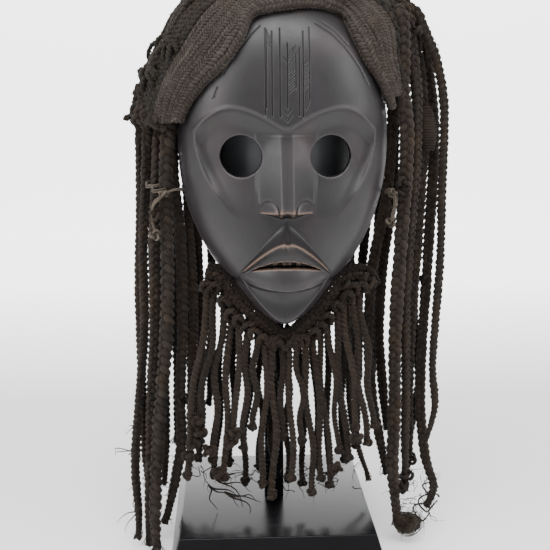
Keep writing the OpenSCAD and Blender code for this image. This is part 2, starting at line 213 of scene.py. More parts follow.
def lacquer(name, body_hex, grey_hex, rough):
    """Sprayed black lacquer, polished: a near mirror with dust and fine rub marks in it."""
    material, tree, shader, place = new_material(name)
    dust = add_node(tree, "ShaderNodeTexNoise", {}, Vector=place.outputs["Object"], Scale=38, Detail=6,
                    Roughness=0.62)
    rubs = add_node(tree, "ShaderNodeMapping", {}, Vector=place.outputs["Object"], Scale=(60, 1400, 60))
    marks = add_node(tree, "ShaderNodeTexNoise", {}, Vector=rubs.outputs[0], Scale=1, Detail=3)
    tone = add_node(tree, "ShaderNodeMix", {"data_type": "RGBA"}, _0=dust.outputs[0],
                    _6=linear(body_hex), _7=linear(grey_hex))
    tree.links.new(tone.outputs[2], shader.inputs["Base Color"])
    haze = add_node(tree, "ShaderNodeMath", {"operation": "MULTIPLY_ADD"}, _0=marks.outputs[0], _1=0.16,
                    _2=rough - 0.08)
    tree.links.new(haze.outputs[0], shader.inputs["Roughness"])
    # Sprayed lacquer has soft ripples about 4 mm apart
    ripple = add_node(tree, "ShaderNodeTexNoise", {}, Vector=place.outputs["Object"], Scale=260, Detail=1)
    relief = add_node(tree, "ShaderNodeBump", {}, Height=ripple.outputs[0], Strength=0.06, Distance=0.0004)
    tree.links.new(relief.outputs[0], shader.inputs["Normal"])
    shader.inputs["Specular IOR Level"].default_value = 0.2
    shader.inputs["Coat Weight"].default_value = 0.03
    shader.inputs["Coat Roughness"].default_value = 0.12
    return material


def round_edges(obj, width, angle=30):
    """Bevels the hard edges of a piece and shades it smooth."""
    pick_only(obj)
    bevel = obj.modifiers.new("round", "BEVEL")
    bevel.width, bevel.segments, bevel.limit_method = width, 3, "ANGLE"
    bevel.angle_limit = math.radians(angle)
    bevel.harden_normals = False
    bpy.ops.object.modifier_apply(modifier=bevel.name)
    bpy.ops.object.shade_smooth_by_angle(angle=math.radians(40))


def add_block(name, low, high):
    """A cube primitive stretched between two corners, with its place in its mesh."""
    deselect_all()
    bpy.ops.mesh.primitive_cube_add(size=1, location=(Vector(low) + Vector(high)) / 2)
    block = bpy.context.object
    block.name = name
    block.scale = Vector(high) - Vector(low)
    bpy.ops.object.transform_apply(location=True, rotation=False, scale=True)
    return block


black_lacquer = lacquer("polished_black_lacquer", "#060607", "#0f0f11", 0.24)
low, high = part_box("plinth")
plinth = add_block("plinth_block", low, high)
batter = (high.z - low.z) * math.tan(math.radians(plinth_lean))
for corner in plinth.data.vertices:
    if corner.co.z > (low.z + high.z) / 2:
        corner.co.x -= math.copysign(batter, corner.co.x)
        corner.co.y -= math.copysign(batter, corner.co.y)
round_edges(plinth, edge_round)
plinth.data.materials.append(black_lacquer)
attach(plinth, "stand")
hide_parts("plinth")

for node in ("post", "cradle_arm"):
    low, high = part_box(node)
    bar = add_block(node + "_bar", low, high)
    round_edges(bar, edge_round)
    bar.data.materials.append(black_lacquer)
    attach(bar, "stand")
    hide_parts(node)


# ---------------------------------------------------------------------------
# Felt: the sheet under the plinth and the discs on the grey plate are black
# pressed wool, with short hairs that catch the light.

felt, tree, shader, place = new_material("black_pressed_wool_felt")
hairs = add_node(tree, "ShaderNodeTexNoise", {}, Vector=place.outputs["Object"], Scale=1500, Detail=4,
                 Distortion=1.5)
felt_tone = add_node(tree, "ShaderNodeMix", {"data_type": "RGBA"}, _0=hairs.outputs[0],
                     _6=linear("#0b0b0c"), _7=linear("#26262a"))
nap = add_node(tree, "ShaderNodeBump", {}, Height=hairs.outputs[0], Strength=0.6, Distance=0.0003)
tree.links.new(felt_tone.outputs[2], shader.inputs["Base Color"])
tree.links.new(nap.outputs[0], shader.inputs["Normal"])
shader.inputs["Roughness"].default_value = 1
shader.inputs["Sheen Weight"].default_value = 0.3

felt_edge = 0.0006
low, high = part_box("plinth_felt")
felt_sheet = add_block("plinth_felt_sheet", low, high)
round_edges(felt_sheet, felt_edge)
felt_sheet.data.materials.append(felt)
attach(felt_sheet, "stand")
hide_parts("plinth_felt")
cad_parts["cradle_pads"].data.materials.clear()
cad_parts["cradle_pads"].data.materials.append(felt)


# ---------------------------------------------------------------------------
# Cradle: a curved sheet of steel behind the eyes, two rods under the
# forehead and the screws, all in grey satin paint over a fine blast.

grey_paint, tree, shader, place = new_material("grey_satin_steel_paint")
blast = add_node(tree, "ShaderNodeTexNoise", {}, Vector=place.outputs["Object"], Scale=1100, Detail=2)
wear = add_node(tree, "ShaderNodeTexNoise", {}, Vector=place.outputs["Object"], Scale=55, Detail=5)
paint_tone = add_node(tree, "ShaderNodeMix", {"data_type": "RGBA"}, _0=wear.outputs[0],
                      _6=linear("#383a3c"), _7=linear("#47494c"))
grit = add_node(tree, "ShaderNodeBump", {}, Height=blast.outputs[0], Strength=0.15, Distance=0.0002)
tree.links.new(paint_tone.outputs[2], shader.inputs["Base Color"])
tree.links.new(grit.outputs[0], shader.inputs["Normal"])
shader.inputs["Roughness"].default_value = 0.42
for node in ("forehead_rods", "post_screw", "arm_screw"):
    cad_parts[node].data.materials.clear()
    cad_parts[node].data.materials.append(grey_paint)

# The plate's curve is a little wider than a circle, so that no light passes its edges
plate_thick, plate_deep, plate_wide, plate_ends = 0.0025, 0.050, 0.0535, 0.006
low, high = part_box("cradle_plate")
middle = Vector(((low.x + high.x) / 2, low.y + plate_deep, (low.z + high.z) / 2))
deselect_all()
bpy.ops.mesh.primitive_cylinder_add(vertices=160, radius=plate_deep, depth=high.z - low.z,
                                    end_fill_type="NOTHING", location=middle)
plate = bpy.context.object
plate.name = "curved_grey_plate"
plate.scale = (plate_wide / plate_deep, 1, 1)
bpy.ops.object.transform_apply(location=True, rotation=False, scale=True)
bpy.ops.object.mode_set(mode="EDIT")
bpy.ops.mesh.select_mode(type="FACE")
bpy.ops.object.mode_set(mode="OBJECT")
for face in plate.data.polygons:
    face.select = face.center.y > plate_ends
bpy.ops.object.mode_set(mode="EDIT")
bpy.ops.mesh.delete(type="FACE")
bpy.ops.object.mode_set(mode="OBJECT")
wall_of_plate = plate.modifiers.new("wall", "SOLIDIFY")
wall_of_plate.thickness, wall_of_plate.offset = plate_thick, -1
bpy.ops.object.modifier_apply(modifier=wall_of_plate.name)
bpy.ops.object.shade_smooth_by_angle(angle=math.radians(40))
plate.data.materials.append(grey_paint)
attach(plate, "stand")
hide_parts("cradle_plate")


# ---------------------------------------------------------------------------
# Mask: one piece of dense dark wood, carved hollow, stained black and rubbed
# to a satin. The brow, the lips and the nose keep crisp knife-cut edges.

# The shape is in millimetres round the point between the eyes: u runs across
# the face, v up and w forward from the flat back of the rim.
MM = 0.001
crown_v, chin_v, widest_v = 110, -126, 10
half_face, face_depth, wall, chin_back = 77, 48, 9, 10
eye_u, eye_radius, eye_lip = 31.5, 14.5, 1.1
brow_u, brow_v = 38, 33.3
mouth_u = 33
mesh_rows, mesh_columns = 560, 330
mask_triangles = 188000

low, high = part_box("mask_face")
mask_centre = ((low.x + high.x) / 2, high.y, low.z - chin_v * MM)


def ease(x):
    """0 below 0, 1 above 1, and a smooth step between them."""
    t = np.clip(x, 0, 1)
    return t * t * (3 - 2 * t)


def half_width(v):
    """Half the outline's width at height v, with the small step where the chin begins."""
    up = np.clip((v - widest_v) / (crown_v - widest_v), 0, 1)
    down = np.clip((widest_v - v) / (widest_v - chin_v), 0, 1)
    taper = 0.85 - 0.12 * ease((-92 - v) / 25)
    jaw = half_face * (1 - down ** 2.3) ** taper - 2.5 * np.exp(-((v + 90) / 3) ** 2)
    return np.where(v > widest_v, half_face * np.sqrt(1 - up ** 2.2), jaw)


def dome(u, v):
    """The plain swelling of the face before anything is cut into it."""
    t = (v + 8) / 118
    deep = face_depth - chin_back * ease((-60 - v) / 60)
    middle = deep * np.sqrt(np.clip(1 - np.abs(t) ** np.where(t > 0, 4, 36), 0, 1))
    a = np.clip(np.abs(u) / np.maximum(half_width(v), 0.01), 0, 1)
    return middle * (1 - a ** 2.6) ** 0.55


def brow_line(a):
    """Height of the brow's lower edge at distance a from the middle."""
    inner = 18.5 * (np.clip(brow_u - np.hypot(a, 4), 0, None) / brow_u) ** 1.8
    outer = 14.3 * (np.clip(a - brow_u, 0, None) / 25) ** 2
    return brow_v - inner - outer


def socket_edges(a, v):
    """How far inside the eye socket a point is, from the brow and from the outer edge."""
    slope = np.where(a < brow_u, 0.55, 0.9) * np.clip(np.abs(a - brow_u) / 25, 0, 1)
    side = 64 - 0.0075 * np.clip(18 - v, 0, None) ** 2
    return (brow_line(a) - v) / np.hypot(1, slope), side - a


def socket(a, v):
    """Depth of the hollow that the brow overhangs and that fades out on the cheek."""
    from_brow, from_side = socket_edges(a, v)
    under = np.sin(np.pi / 2 * np.clip(from_brow / 15, 0, 1))
    beside = 1 - (1 - np.clip(from_side / 10, 0, 1)) ** 2
    return 7 * under * beside * ease((v + 46) / 40)


def nose(a, v):
    """Front of the nose's wedge: a flat ridge with a shallow groove, flanks, a straight bottom and wings."""
    t = np.clip((15 - v) / 54, 0, 1.2)
    ridge = 46 + 18.5 * t ** 0.95 - 0.7 * np.clip(1 - (a / 4.3) ** 2, 0, 1)
    flank = np.clip(a - 4, 0, None) * (0.6 + 0.62 * t)
    wing = np.hypot((a - 12.6) / 6.4, (v + 38.5) / 8.5)
    lobe = 1.5 * np.sqrt(np.clip(1 - wing ** 2, 0, 1)) - 0.9 * np.exp(-((wing - 1.05) / 0.12) ** 2)
    bottom = -39 + 2.4 * np.clip(1 - a / 20, 0, 1)
    under = 3.2 * np.clip(bottom - v, 0, None) + 0.5 * ease((bottom + 1.1 - v) / 1.4)
    fade = 30 * ease((a - 21) / 4)
    above = 1.1 * np.clip(v - 14, 0, None) ** 1.3
    return ridge - flank + lobe * ease((v + 39.5) / 1) - under - fade - above


def lips(a, v):
    """Height of the mouth above the dome: upper edge, slit, lower edge and the chin's hollow."""
    x = np.clip(a / mouth_u, 0, 1)
    near = (1 - x ** 1.35)
    top = -44 - 38 * x ** 1.1
    upper = -58 - 26.5 * x ** 1.6 - 1.1 * np.exp(-(a / 2.2) ** 2)
    gap = -75 - 10 * x ** 2
    lower = -85 - 7.5 * np.sqrt(np.clip(1 - x ** 2, 0, 1))
    high_up, deep, high_low = 15 * near + 1.2, 7.5 * near, 14.5 * near ** 0.9 + 0.6

    def part(start, end):
        return np.clip((start - v) / np.maximum(start - end, 0.01), 0, 1)

    rise = high_up * part(top, upper) ** 1.8
    fall = high_up - (high_up - deep) * np.sin(np.pi / 2 * part(upper, gap))
    swell = deep + (high_low - deep) * np.sin(np.pi / 2 * part(gap, lower)) ** 0.8
    below = high_low * (1 - ease(part(lower, lower - 5)))
    height = np.where(v > upper, rise, np.where(v > gap, fall, np.where(v > lower, swell, below)))
    inside = ease((mouth_u + 1.5 - a) / 3)
    half_slit = 2.6 * np.clip(1 - (a / 26) ** 2, 0, 1)
    slit = 6.5 * ease((half_slit - np.abs(v - gap - 0.6)) / 1.0)
    stumps = ease((np.sin(a * 0.9 + 0.6 * np.sin(a * 2.1)) - 0.1) * 3)
    teeth = 2.6 * ease((half_slit + 0.2 - np.abs(v - gap - 1.9)) / 1.0) * stumps
    return height * inside - slit + teeth * (slit > 0.5)


def chin(a, v):
    """The concave facet between the lower lip and the chin's bevelled rim."""
    x = np.clip(a / mouth_u, 0, 1)
    lower = -85 - 7.5 * np.sqrt(np.clip(1 - x ** 2, 0, 1))
    rim = -121.5 + 36 * x ** 1.45
    across = np.clip((lower - v) / np.maximum(lower - rim, 0.5), 0, 1)
    bowl = np.sin(np.pi * across ** 0.75) ** 0.9
    return 6.5 * np.clip(1 - x, 0, 1) ** 0.6 * bowl * (v < lower) * (v > rim)


def cut(u, v, points, width=0.5):
    """A knife line along points: 1 in its middle, falling to 0 at its sides."""
    best = np.full(u.shape, 1e9)
    for (u0, v0), (u1, v1) in zip(points, points[1:]):
        du, dv = u1 - u0, v1 - v0
        t = np.clip(((u - u0) * du + (v - v0) * dv) / (du * du + dv * dv), 0, 1)
        best = np.minimum(best, np.hypot(u - u0 - t * du, v - v0 - t * dv))
    return np.exp(-(best / width) ** 2)


# Lines cut in the forehead: upright ones, the nested points at their foot, the
# hatching between them and the lines that follow the hair
upright_cuts = [(-14.6, 86, 28), (-13.7, 85, 33), (-10, 84, 28), (-4.6, 86, 27), (0.5, 76, 33),
                (6.2, 70, 46), (8.5, 73, 28), (11.2, 84, 27), (15.6, 87, 38)]
foot_cuts = [[(-4.2, 29), (-1, 25.5), (0.4, 24), (3.6, 28)], [(-3, 33), (0.4, 28.5), (3.4, 33)],
             [(15.6, 38), (13.2, 32)]]
hair_cuts = [[(-18, 88), (-24, 82), (-29, 76), (-36, 68), (-43, 56)], [(-47, 47), (-50, 39)],
             [(20, 90), (31, 83), (40, 75), (46, 68), (52, 60), (58, 49)], [(25, 91), (34, 85), (43, 76)]]
hatch_cuts = [[(1.2, v), (6, v + 4.4)] for v in np.arange(43, 70, 1.9)]
hatch_cuts += [[(12, v), (15, v + 2.6)] for v in np.arange(46, 64, 1.5)]
hatch_cuts += [[(-13.2, v), (-10.4, v - 5)] for v in (83.5, 80.6, 77.6)] + [[(-2.6, 67), (0.2, 63)]]


def carve(u, v):
    """Forward height of the finished front at (u, v)."""
    a = np.abs(u)
    side = dome(u, v)
    edge = ease(side / 13)
    face = side - edge * socket(a, v)
    from_brow, from_side = socket_edges(a, v)
    crest = np.minimum(from_brow, from_side)
    face += 0.7 * edge * np.exp(-(crest / 1.6) ** 2) * ease((v + 34) / 20)
    wedge = nose(a, v)
    blend = 1.2 + 3.2 * ease((v + 30) / 40)
    joined = (face + wedge + np.hypot(face - wedge, blend)) / 2 - 0.15 * blend
    face += (joined - face) * ease((v + 50) / 5)
    face += edge * (lips(a, v) - chin(a, v))
    ring = np.hypot(a - eye_u, v)
    face -= eye_lip * (1 - np.sqrt(1 - np.clip((eye_radius + eye_lip - ring) / eye_lip, 0, 1) ** 2))
    return face


def forehead_cuts(u, v):
    """Depth of the knife lines, only worked out near the forehead."""
    depth = np.zeros(u.shape)
    part = (v > 20) & (np.abs(u) < 64)
    uu, vv = u[part], v[part]
    lines = np.zeros(uu.shape)
    for x, top, foot in upright_cuts:
        lines = np.maximum(lines, cut(uu, vv, [(x, top), (x, (top + foot) / 2), (x, foot)], 0.42))
    for points in foot_cuts + hair_cuts:
        lines = np.maximum(lines, 0.8 * cut(uu, vv, points, 0.42))
    for points in hatch_cuts:
        lines = np.maximum(lines, 0.7 * cut(uu, vv, points, 0.36))
    depth[part] = 0.8 * lines
    return depth


deselect_all()
bpy.ops.mesh.primitive_grid_add(x_subdivisions=mesh_columns, y_subdivisions=mesh_rows, size=2)
mask = bpy.context.object
mask.name = "carved_mask"
bpy.ops.object.mode_set(mode="EDIT")
bpy.ops.mesh.select_all(action="SELECT")
bpy.ops.mesh.extrude_region_move(TRANSFORM_OT_translate={"value": (0, 0, 1)})
bpy.ops.object.mode_set(mode="OBJECT")
count = len(mask.data.vertices)
flat = np.empty(count * 3, np.float32)
mask.data.vertices.foreach_get("co", flat)
flat = flat.reshape(-1, 3).astype(float)
front = flat[:, 2] > 0.5
# Columns lie closest in the middle of the face, rows at the crown and chin
across = 0.62 * flat[:, 0] + 0.38 * flat[:, 0] ** 3
inset = np.where(front, 0, wall)
top_v, foot_v = crown_v - inset, chin_v + inset
middle_v, half_height = (top_v + foot_v) / 2, (top_v - foot_v) / 2
v = middle_v + half_height * np.sin(np.pi / 2 * (0.7 * flat[:, 1] + 0.3 * flat[:, 1] ** 3))
u = np.maximum(half_width(v) * (1 - inset / half_face) - inset * 0.1, 0.05) * across
v_out = (crown_v + chin_v) / 2 + (crown_v - chin_v) / 2 * (v - middle_v) / half_height
u_out = half_width(v_out) * across
w = np.where(front, carve(u, v) - forehead_cuts(u, v),
             np.clip(np.minimum(dome(u_out, v_out) * 0.8, carve(u, v) - wall + 1), 0, None))
shape = np.stack([mask_centre[0] + u * MM, mask_centre[1] - w * MM, mask_centre[2] + v * MM], 1)
mask.data.vertices.foreach_set("co", shape.astype(np.float32).ravel())
bpy.ops.object.mode_set(mode="EDIT")
bpy.ops.mesh.select_all(action="SELECT")
bpy.ops.mesh.remove_doubles(threshold=0.00004)
bpy.ops.mesh.normals_make_consistent(inside=False)
bpy.ops.object.mode_set(mode="OBJECT")
thin = mask.modifiers.new("fewer", "DECIMATE")
thin.ratio = mask_triangles / (2 * len(mask.data.polygons))
thin.use_collapse_triangulate = True
bpy.ops.object.modifier_apply(modifier=thin.name)


def bore(obj, centre, axis, radius, length):
    """Cuts a round hole through a piece with a Boolean of a cylinder."""
    deselect_all()
    bpy.ops.mesh.primitive_cylinder_add(vertices=96, radius=radius, depth=length, location=centre)
    cutter = bpy.context.object
    cutter.rotation_euler = Vector(axis).to_track_quat("Z", "Y").to_euler()
    pick_only(obj)
    hole = obj.modifiers.new("hole", "BOOLEAN")
    hole.operation, hole.object, hole.solver = "DIFFERENCE", cutter, "EXACT"
    bpy.ops.object.modifier_apply(modifier=hole.name)
    bpy.data.objects.remove(cutter)


# Small holes in the rim: one by each cheek for the ties, one by each side of
# the chin, square to its slope, for the beard band's lashings
rim_hole_radius = 0.0022
tie_hole, lashing_hole = (0.074, -0.009, -0.027), (0.041, -0.011, -0.088)
lashing_angle = math.radians(125)
x0, y0, z0 = mask_centre
for side in (-1, 1):
    bore(mask, (x0 + side * eye_u * MM, y0 - 0.04, z0), (0, 1, 0), eye_radius * MM, 0.09)
    bore(mask, (x0 + side * tie_hole[0], y0 + tie_hole[1], z0 + tie_hole[2]), (1, 0, 0),
         rim_hole_radius, 0.04)
    bore(mask, (x0 + side * lashing_hole[0], y0 + lashing_hole[1], z0 + lashing_hole[2]),
         (side * math.sin(lashing_angle), 0, math.cos(lashing_angle)), rim_hole_radius, 0.03)
pick_only(mask)
bpy.ops.object.shade_smooth_by_angle(angle=math.radians(48))


def ridges_and_creases(u, v):
    """How much each point is a sharp ridge and how much a crease, each from 0 to 1: ridges are painted
    lighter as highlight and wear, creases darker as painted shade.
    """
    step = 0.9
    middle = carve(u, v)
    bend = (carve(u - step, v) + carve(u + step, v) + carve(u, v - step) + carve(u, v + step)) / 4 - middle
    return np.clip(-bend * 2.2, 0, 1), np.clip(bend * 1.6, 0, 1)


count = len(mask.data.vertices)
spots = np.empty(count * 3, np.float32)
mask.data.vertices.foreach_get("co", spots)
spots = spots.reshape(-1, 3).astype(float)
u, v = (spots[:, 0] - x0) / MM, (spots[:, 2] - z0) / MM
ridge_highlight_and_wear, crease_shade = ridges_and_creases(u, v)
outside = (carve(u, v) - (y0 - spots[:, 1]) / MM) < 3
nose_foot = (np.abs(u) < 21) & (v < -35) & (v > -44)
lip_edge = (np.abs(u) < 30) & (v < -56) & (v > -84) & (ridge_highlight_and_wear > 0.3)
bronze_edge_highlight = ridge_highlight_and_wear * (nose_foot | lip_edge)
# Sharp ridges get painted highlight along with wear from handling, the nose's foot and the lip edges a warm
# brown painted highlight, and creases painted shade; all only on the outer face
for layer, values in (("ridge_highlight_and_wear", 0.5 * ridge_highlight_and_wear * outside), ("bronze_edge_highlight", bronze_edge_highlight * outside),
                      ("crease_shade", crease_shade * outside)):
    mask.data.attributes.new(layer, "FLOAT", "POINT").data.foreach_set("value", values.astype(np.float32))

# Oiled and smoked hardwood: a near black brown that goes mauve in the light,
# red where the stain is thin, with long fine grain and a broad soft shine
wood, tree, shader, place = new_material("smoked_satin_hardwood")
blotch = add_node(tree, "ShaderNodeTexNoise", {}, Vector=place.outputs["Object"], Scale=22, Detail=4,
                  Roughness=0.55)
stain = add_node(tree, "ShaderNodeValToRGB", {}, Fac=blotch.outputs[0])
stain.color_ramp.elements[0].position, stain.color_ramp.elements[0].color = 0.32, linear("#131112")
stain.color_ramp.elements[1].position, stain.color_ramp.elements[1].color = 0.7, linear("#1f1c1e")
red_place = add_node(tree, "ShaderNodeTexNoise", {}, Vector=place.outputs["Object"], Scale=31, Detail=3,
                     Distortion=0.4)
red_mask = add_node(tree, "ShaderNodeMapRange", {}, Value=red_place.outputs[0], From_Min=0.55,
                    From_Max=0.75, To_Min=0, To_Max=0.55)
red = add_node(tree, "ShaderNodeMix", {"data_type": "RGBA"}, _0=red_mask.outputs[0],
               _6=stain.outputs[0], _7=linear("#2f1d1e"))
stretch = add_node(tree, "ShaderNodeMapping", {}, Vector=place.outputs["Object"], Scale=(900, 900, 45))
grain = add_node(tree, "ShaderNodeTexNoise", {}, Vector=stretch.outputs[0], Scale=1, Detail=3)
grain_tone = add_node(tree, "ShaderNodeMapRange", {}, Value=grain.outputs[0], From_Min=0.3, From_Max=0.7,
                      To_Min=0.86, To_Max=1.12)
grained = add_node(tree, "ShaderNodeVectorMath", {"operation": "SCALE"}, _0=red.outputs[2],
                   Scale=grain_tone.outputs[0])
# Painted highlight, with wear from handling: sharp ridges are mixed towards a pale mauve grey
rub = add_node(tree, "ShaderNodeAttribute", {"attribute_name": "ridge_highlight_and_wear"})
warm = add_node(tree, "ShaderNodeMix", {"data_type": "RGBA"}, _0=rub.outputs["Fac"],
                _6=grained.outputs[0], _7=linear("#544c50"))
# Painted highlight, with wear from handling: the ridges at the nose's foot and along the lips go a warm brown
bronze_highlight_node = add_node(tree, "ShaderNodeAttribute", {"attribute_name": "bronze_edge_highlight"})
bronzed = add_node(tree, "ShaderNodeMix", {"data_type": "RGBA"}, _0=bronze_highlight_node.outputs["Fac"],
                   _6=warm.outputs[2], _7=linear("#6b574b"))
# Painted shade: creases are mixed towards near black
crease_shade_node = add_node(tree, "ShaderNodeAttribute", {"attribute_name": "crease_shade"})
final = add_node(tree, "ShaderNodeMix", {"data_type": "RGBA"}, _0=crease_shade_node.outputs["Fac"],
                 _6=bronzed.outputs[2], _7=linear("#0d0b0c"))
tree.links.new(final.outputs[2], shader.inputs["Base Color"])
# Pores about 0.3 mm across and rub marks make the shine uneven
pores = add_node(tree, "ShaderNodeTexNoise", {}, Vector=place.outputs["Object"], Scale=1300, Detail=3,
                 Roughness=0.7)
patches = add_node(tree, "ShaderNodeTexNoise", {}, Vector=place.outputs["Object"], Scale=70, Detail=6,
                   Roughness=0.7)
gloss = add_node(tree, "ShaderNodeMapRange", {}, Value=patches.outputs[0], From_Min=0.3, From_Max=0.7,
                 To_Min=0.36, To_Max=0.52)
tree.links.new(gloss.outputs[0], shader.inputs["Roughness"])
fine = add_node(tree, "ShaderNodeBump", {}, Height=pores.outputs[0], Strength=0.22, Distance=0.00025)
long_grain = add_node(tree, "ShaderNodeBump", {}, Height=grain.outputs[0], Normal=fine.outputs[0],
                      Strength=0.12, Distance=0.0003)
tree.links.new(long_grain.outputs[0], shader.inputs["Normal"])
shader.inputs["IOR"].default_value = 1.5
shader.inputs["Specular IOR Level"].default_value = 0.5
shader.inputs["Coat Weight"].default_value = 0.08
shader.inputs["Coat Roughness"].default_value = 0.3
mask.data.materials.append(wood)
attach(mask, "mask")
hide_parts("mask_face")


# ---------------------------------------------------------------------------
# Cap net: a thin looped net of dark plant cord, drawn over the crown behind
# the hairline. The plaited bands are sewn to it, so it shows only from behind.

cap_centre_v, cap_back_w, roll_width = 30, -8, 9
hairline = np.array([(-95, 72), (-75, 62), (-60, 56), (-45, 55), (-30, 60), (-20, 69), (0, 70), (20, 75),
                     (32, 77), (45, 69), (60, 66), (75, 69), (98, 77)], float)
cap_outline = np.array([(-95, 104), (-60, 98), (-40, 103), (0, 104), (25, 109), (46, 115), (54, 111),
                        (64, 95), (75, 91), (98, 91)], float)
fine_turns = np.arange(-112.0, 113.0)
softener = np.hanning(13) / np.hanning(13).sum()


def smooth_table(line):
    """A table of radii as a smooth curve, one value for each degree."""
    padded = np.interp(np.arange(-118.0, 119.0), line[:, 0], line[:, 1])
    return np.convolve(padded, softener, "valid")


hairline_radii, outline_radii = smooth_table(hairline), smooth_table(cap_outline)


def cap_point(turn, back, under=0.0):
    """A place on the cap: turn round the face, angle back from the hairline, depth below the bands."""
    turn = np.asarray(turn, float)
    near, far = (np.interp(turn, fine_turns, radii) for radii in (hairline_radii, outline_radii))
    s, c = np.sin(np.radians(turn)), np.cos(np.radians(turn))
    sb, cb = np.sin(np.radians(back)), np.cos(np.radians(back))

    def rise(r):
        return dome(r * s, cap_centre_v + r * c)

    fall = (rise(near - 2) - rise(near + 2)) / 4
    lift = (roll_width / 2 + 0.3) / np.hypot(1, fall)
    r0, w0 = near + lift * fall, rise(near) + lift
    r = r0 + (far - r0 - under) * sb
    w = cap_back_w + (w0 - cap_back_w - under) * cb
    return np.stack([mask_centre[0] + r * s * MM, mask_centre[1] - w * MM,
                     mask_centre[2] + (cap_centre_v + r * c) * MM], -1)


def fibre(name, valley_shade_hex, crest_hex, gold_hex, dusty_hex, gold_share=0.5, rough=0.86):
    """Plant fibre: painted shade between the strands and its own lighter tone on their crests, streaked along
    each strand.
    """
    material, tree, shader, place = new_material(name)
    # Painted shade: the colour darkens towards the cord's axis, in the valleys between strands and plies
    height = add_node(tree, "ShaderNodeAttribute", {"attribute_name": "crest"})
    base = add_node(tree, "ShaderNodeMix", {"data_type": "RGBA"}, _0=height.outputs["Fac"],
                    _6=linear(valley_shade_hex), _7=linear(crest_hex))
    # Browner lengths some 30 mm long and dusty spots some 8 mm across
    long_patch = add_node(tree, "ShaderNodeTexNoise", {}, Vector=place.outputs["Object"], Scale=33,
                          Detail=3)
    gold_mask = add_node(tree, "ShaderNodeMapRange", {}, Value=long_patch.outputs[0], From_Min=0.48,
                         From_Max=0.68, To_Min=0, To_Max=gold_share)
    gold = add_node(tree, "ShaderNodeMix", {"data_type": "RGBA"}, _0=gold_mask.outputs[0],
                    _6=base.outputs[2], _7=linear(gold_hex))
    spots = add_node(tree, "ShaderNodeTexNoise", {}, Vector=place.outputs["Object"], Scale=130, Detail=4,
                     Roughness=0.6)
    dust_mask = add_node(tree, "ShaderNodeMapRange", {}, Value=spots.outputs[0], From_Min=0.5,
                         From_Max=0.75, To_Min=0, To_Max=0.55)
    dusty = add_node(tree, "ShaderNodeMix", {"data_type": "RGBA"}, _0=dust_mask.outputs[0],
                     _6=gold.outputs[2], _7=linear(dusty_hex))
    # Fibres 0.5 mm wide and 7 mm long, as coarse as they need to be to show
    thread = add_node(tree, "ShaderNodeAttribute", {"attribute_name": "thread"})
    stretch = add_node(tree, "ShaderNodeMapping", {}, Vector=thread.outputs["Vector"],
                       Scale=(2000, 2000, 140))
    streak = add_node(tree, "ShaderNodeTexNoise", {}, Vector=stretch.outputs[0], Scale=1, Detail=3,
                      Roughness=0.65)
    streak_tone = add_node(tree, "ShaderNodeMapRange", {}, Value=streak.outputs[0], From_Min=0.28,
                           From_Max=0.72, To_Min=0.5, To_Max=1.6)
    lock = add_node(tree, "ShaderNodeAttribute", {"attribute_name": "lock"})
    tint = add_node(tree, "ShaderNodeMath", {"operation": "MULTIPLY"}, _0=streak_tone.outputs[0],
                    _1=lock.outputs["Fac"])
    streaked = add_node(tree, "ShaderNodeVectorMath", {"operation": "SCALE"}, _0=dusty.outputs[2],
                        Scale=tint.outputs[0])
    tree.links.new(streaked.outputs[0], shader.inputs["Base Color"])
    relief = add_node(tree, "ShaderNodeBump", {}, Height=streak.outputs[0], Strength=0.7, Distance=0.0004)
    tree.links.new(relief.outputs[0], shader.inputs["Normal"])
    shader.inputs["Roughness"].default_value = rough
    shader.inputs["Specular IOR Level"].default_value = 0.14
    shader.inputs["Sheen Weight"].default_value = 0.05
    return material


def set_layer(mesh, name, kind, values):
    """Stores one value for each point of a mesh."""
    key = "vector" if kind == "FLOAT_VECTOR" else "value"
    mesh.attributes.new(name, kind, "POINT").data.foreach_set(key, np.asarray(values, np.float32).ravel())


net_rows, net_columns = 150, 60
# Middle and half of the net's turn round the face and of its angle back
net_turn, net_back = (-7, 87), (72, 48)
net_under, knot_height = 7.6, 0.9
deselect_all()
bpy.ops.mesh.primitive_grid_add(x_subdivisions=net_rows, y_subdivisions=net_columns, size=2)
net = bpy.context.object
net.name = "looped_net"
flat = np.array([corner.co[:] for corner in net.data.vertices])
knots = np.sin(flat[:, 0] * 128) * np.sin(flat[:, 1] * 52)
spots = cap_point(net_turn[0] + net_turn[1] * flat[:, 0], net_back[0] + net_back[1] * flat[:, 1],
                  net_under - knot_height * knots)
for corner, spot in zip(net.data.vertices, spots):
    corner.co = spot
# Painted shade: the net is darker where its knots sink and lighter where they rise
set_layer(net.data, "crest", "FLOAT", 0.5 + 0.5 * knots)
set_layer(net.data, "lock", "FLOAT", np.ones(len(flat)))
set_layer(net.data, "thread", "FLOAT_VECTOR", spots * 0.3)
pick_only(net)
wall_of_net = net.modifiers.new("wall", "SOLIDIFY")
wall_of_net.thickness, wall_of_net.offset = 0.0012, 0
bpy.ops.object.modifier_apply(modifier=wall_of_net.name)
bpy.ops.object.shade_smooth()
dark_cap_fibre = fibre("dusty_dark_cap_fibre", "#060605", "#24201c", "#261e14", "#332f2a")
net.data.materials.append(dark_cap_fibre)
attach(net, "mask")
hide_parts("cap_net")


# ---------------------------------------------------------------------------
# Cap edge: two fine cords of opposite twist, sewn side by side over a roll at
# the hairline, so that their plies meet in small points like a chain stitch.
# A third cord lies inside them, against the wood.

# A bundle gathers strands until they become one mesh
fibre_chance = np.random.default_rng(11)


def new_bundle():
    """An empty bundle of strands."""
    return {"spot": [], "thread": [], "crest": [], "lock": [], "quad": [], "cap": [], "count": 0}


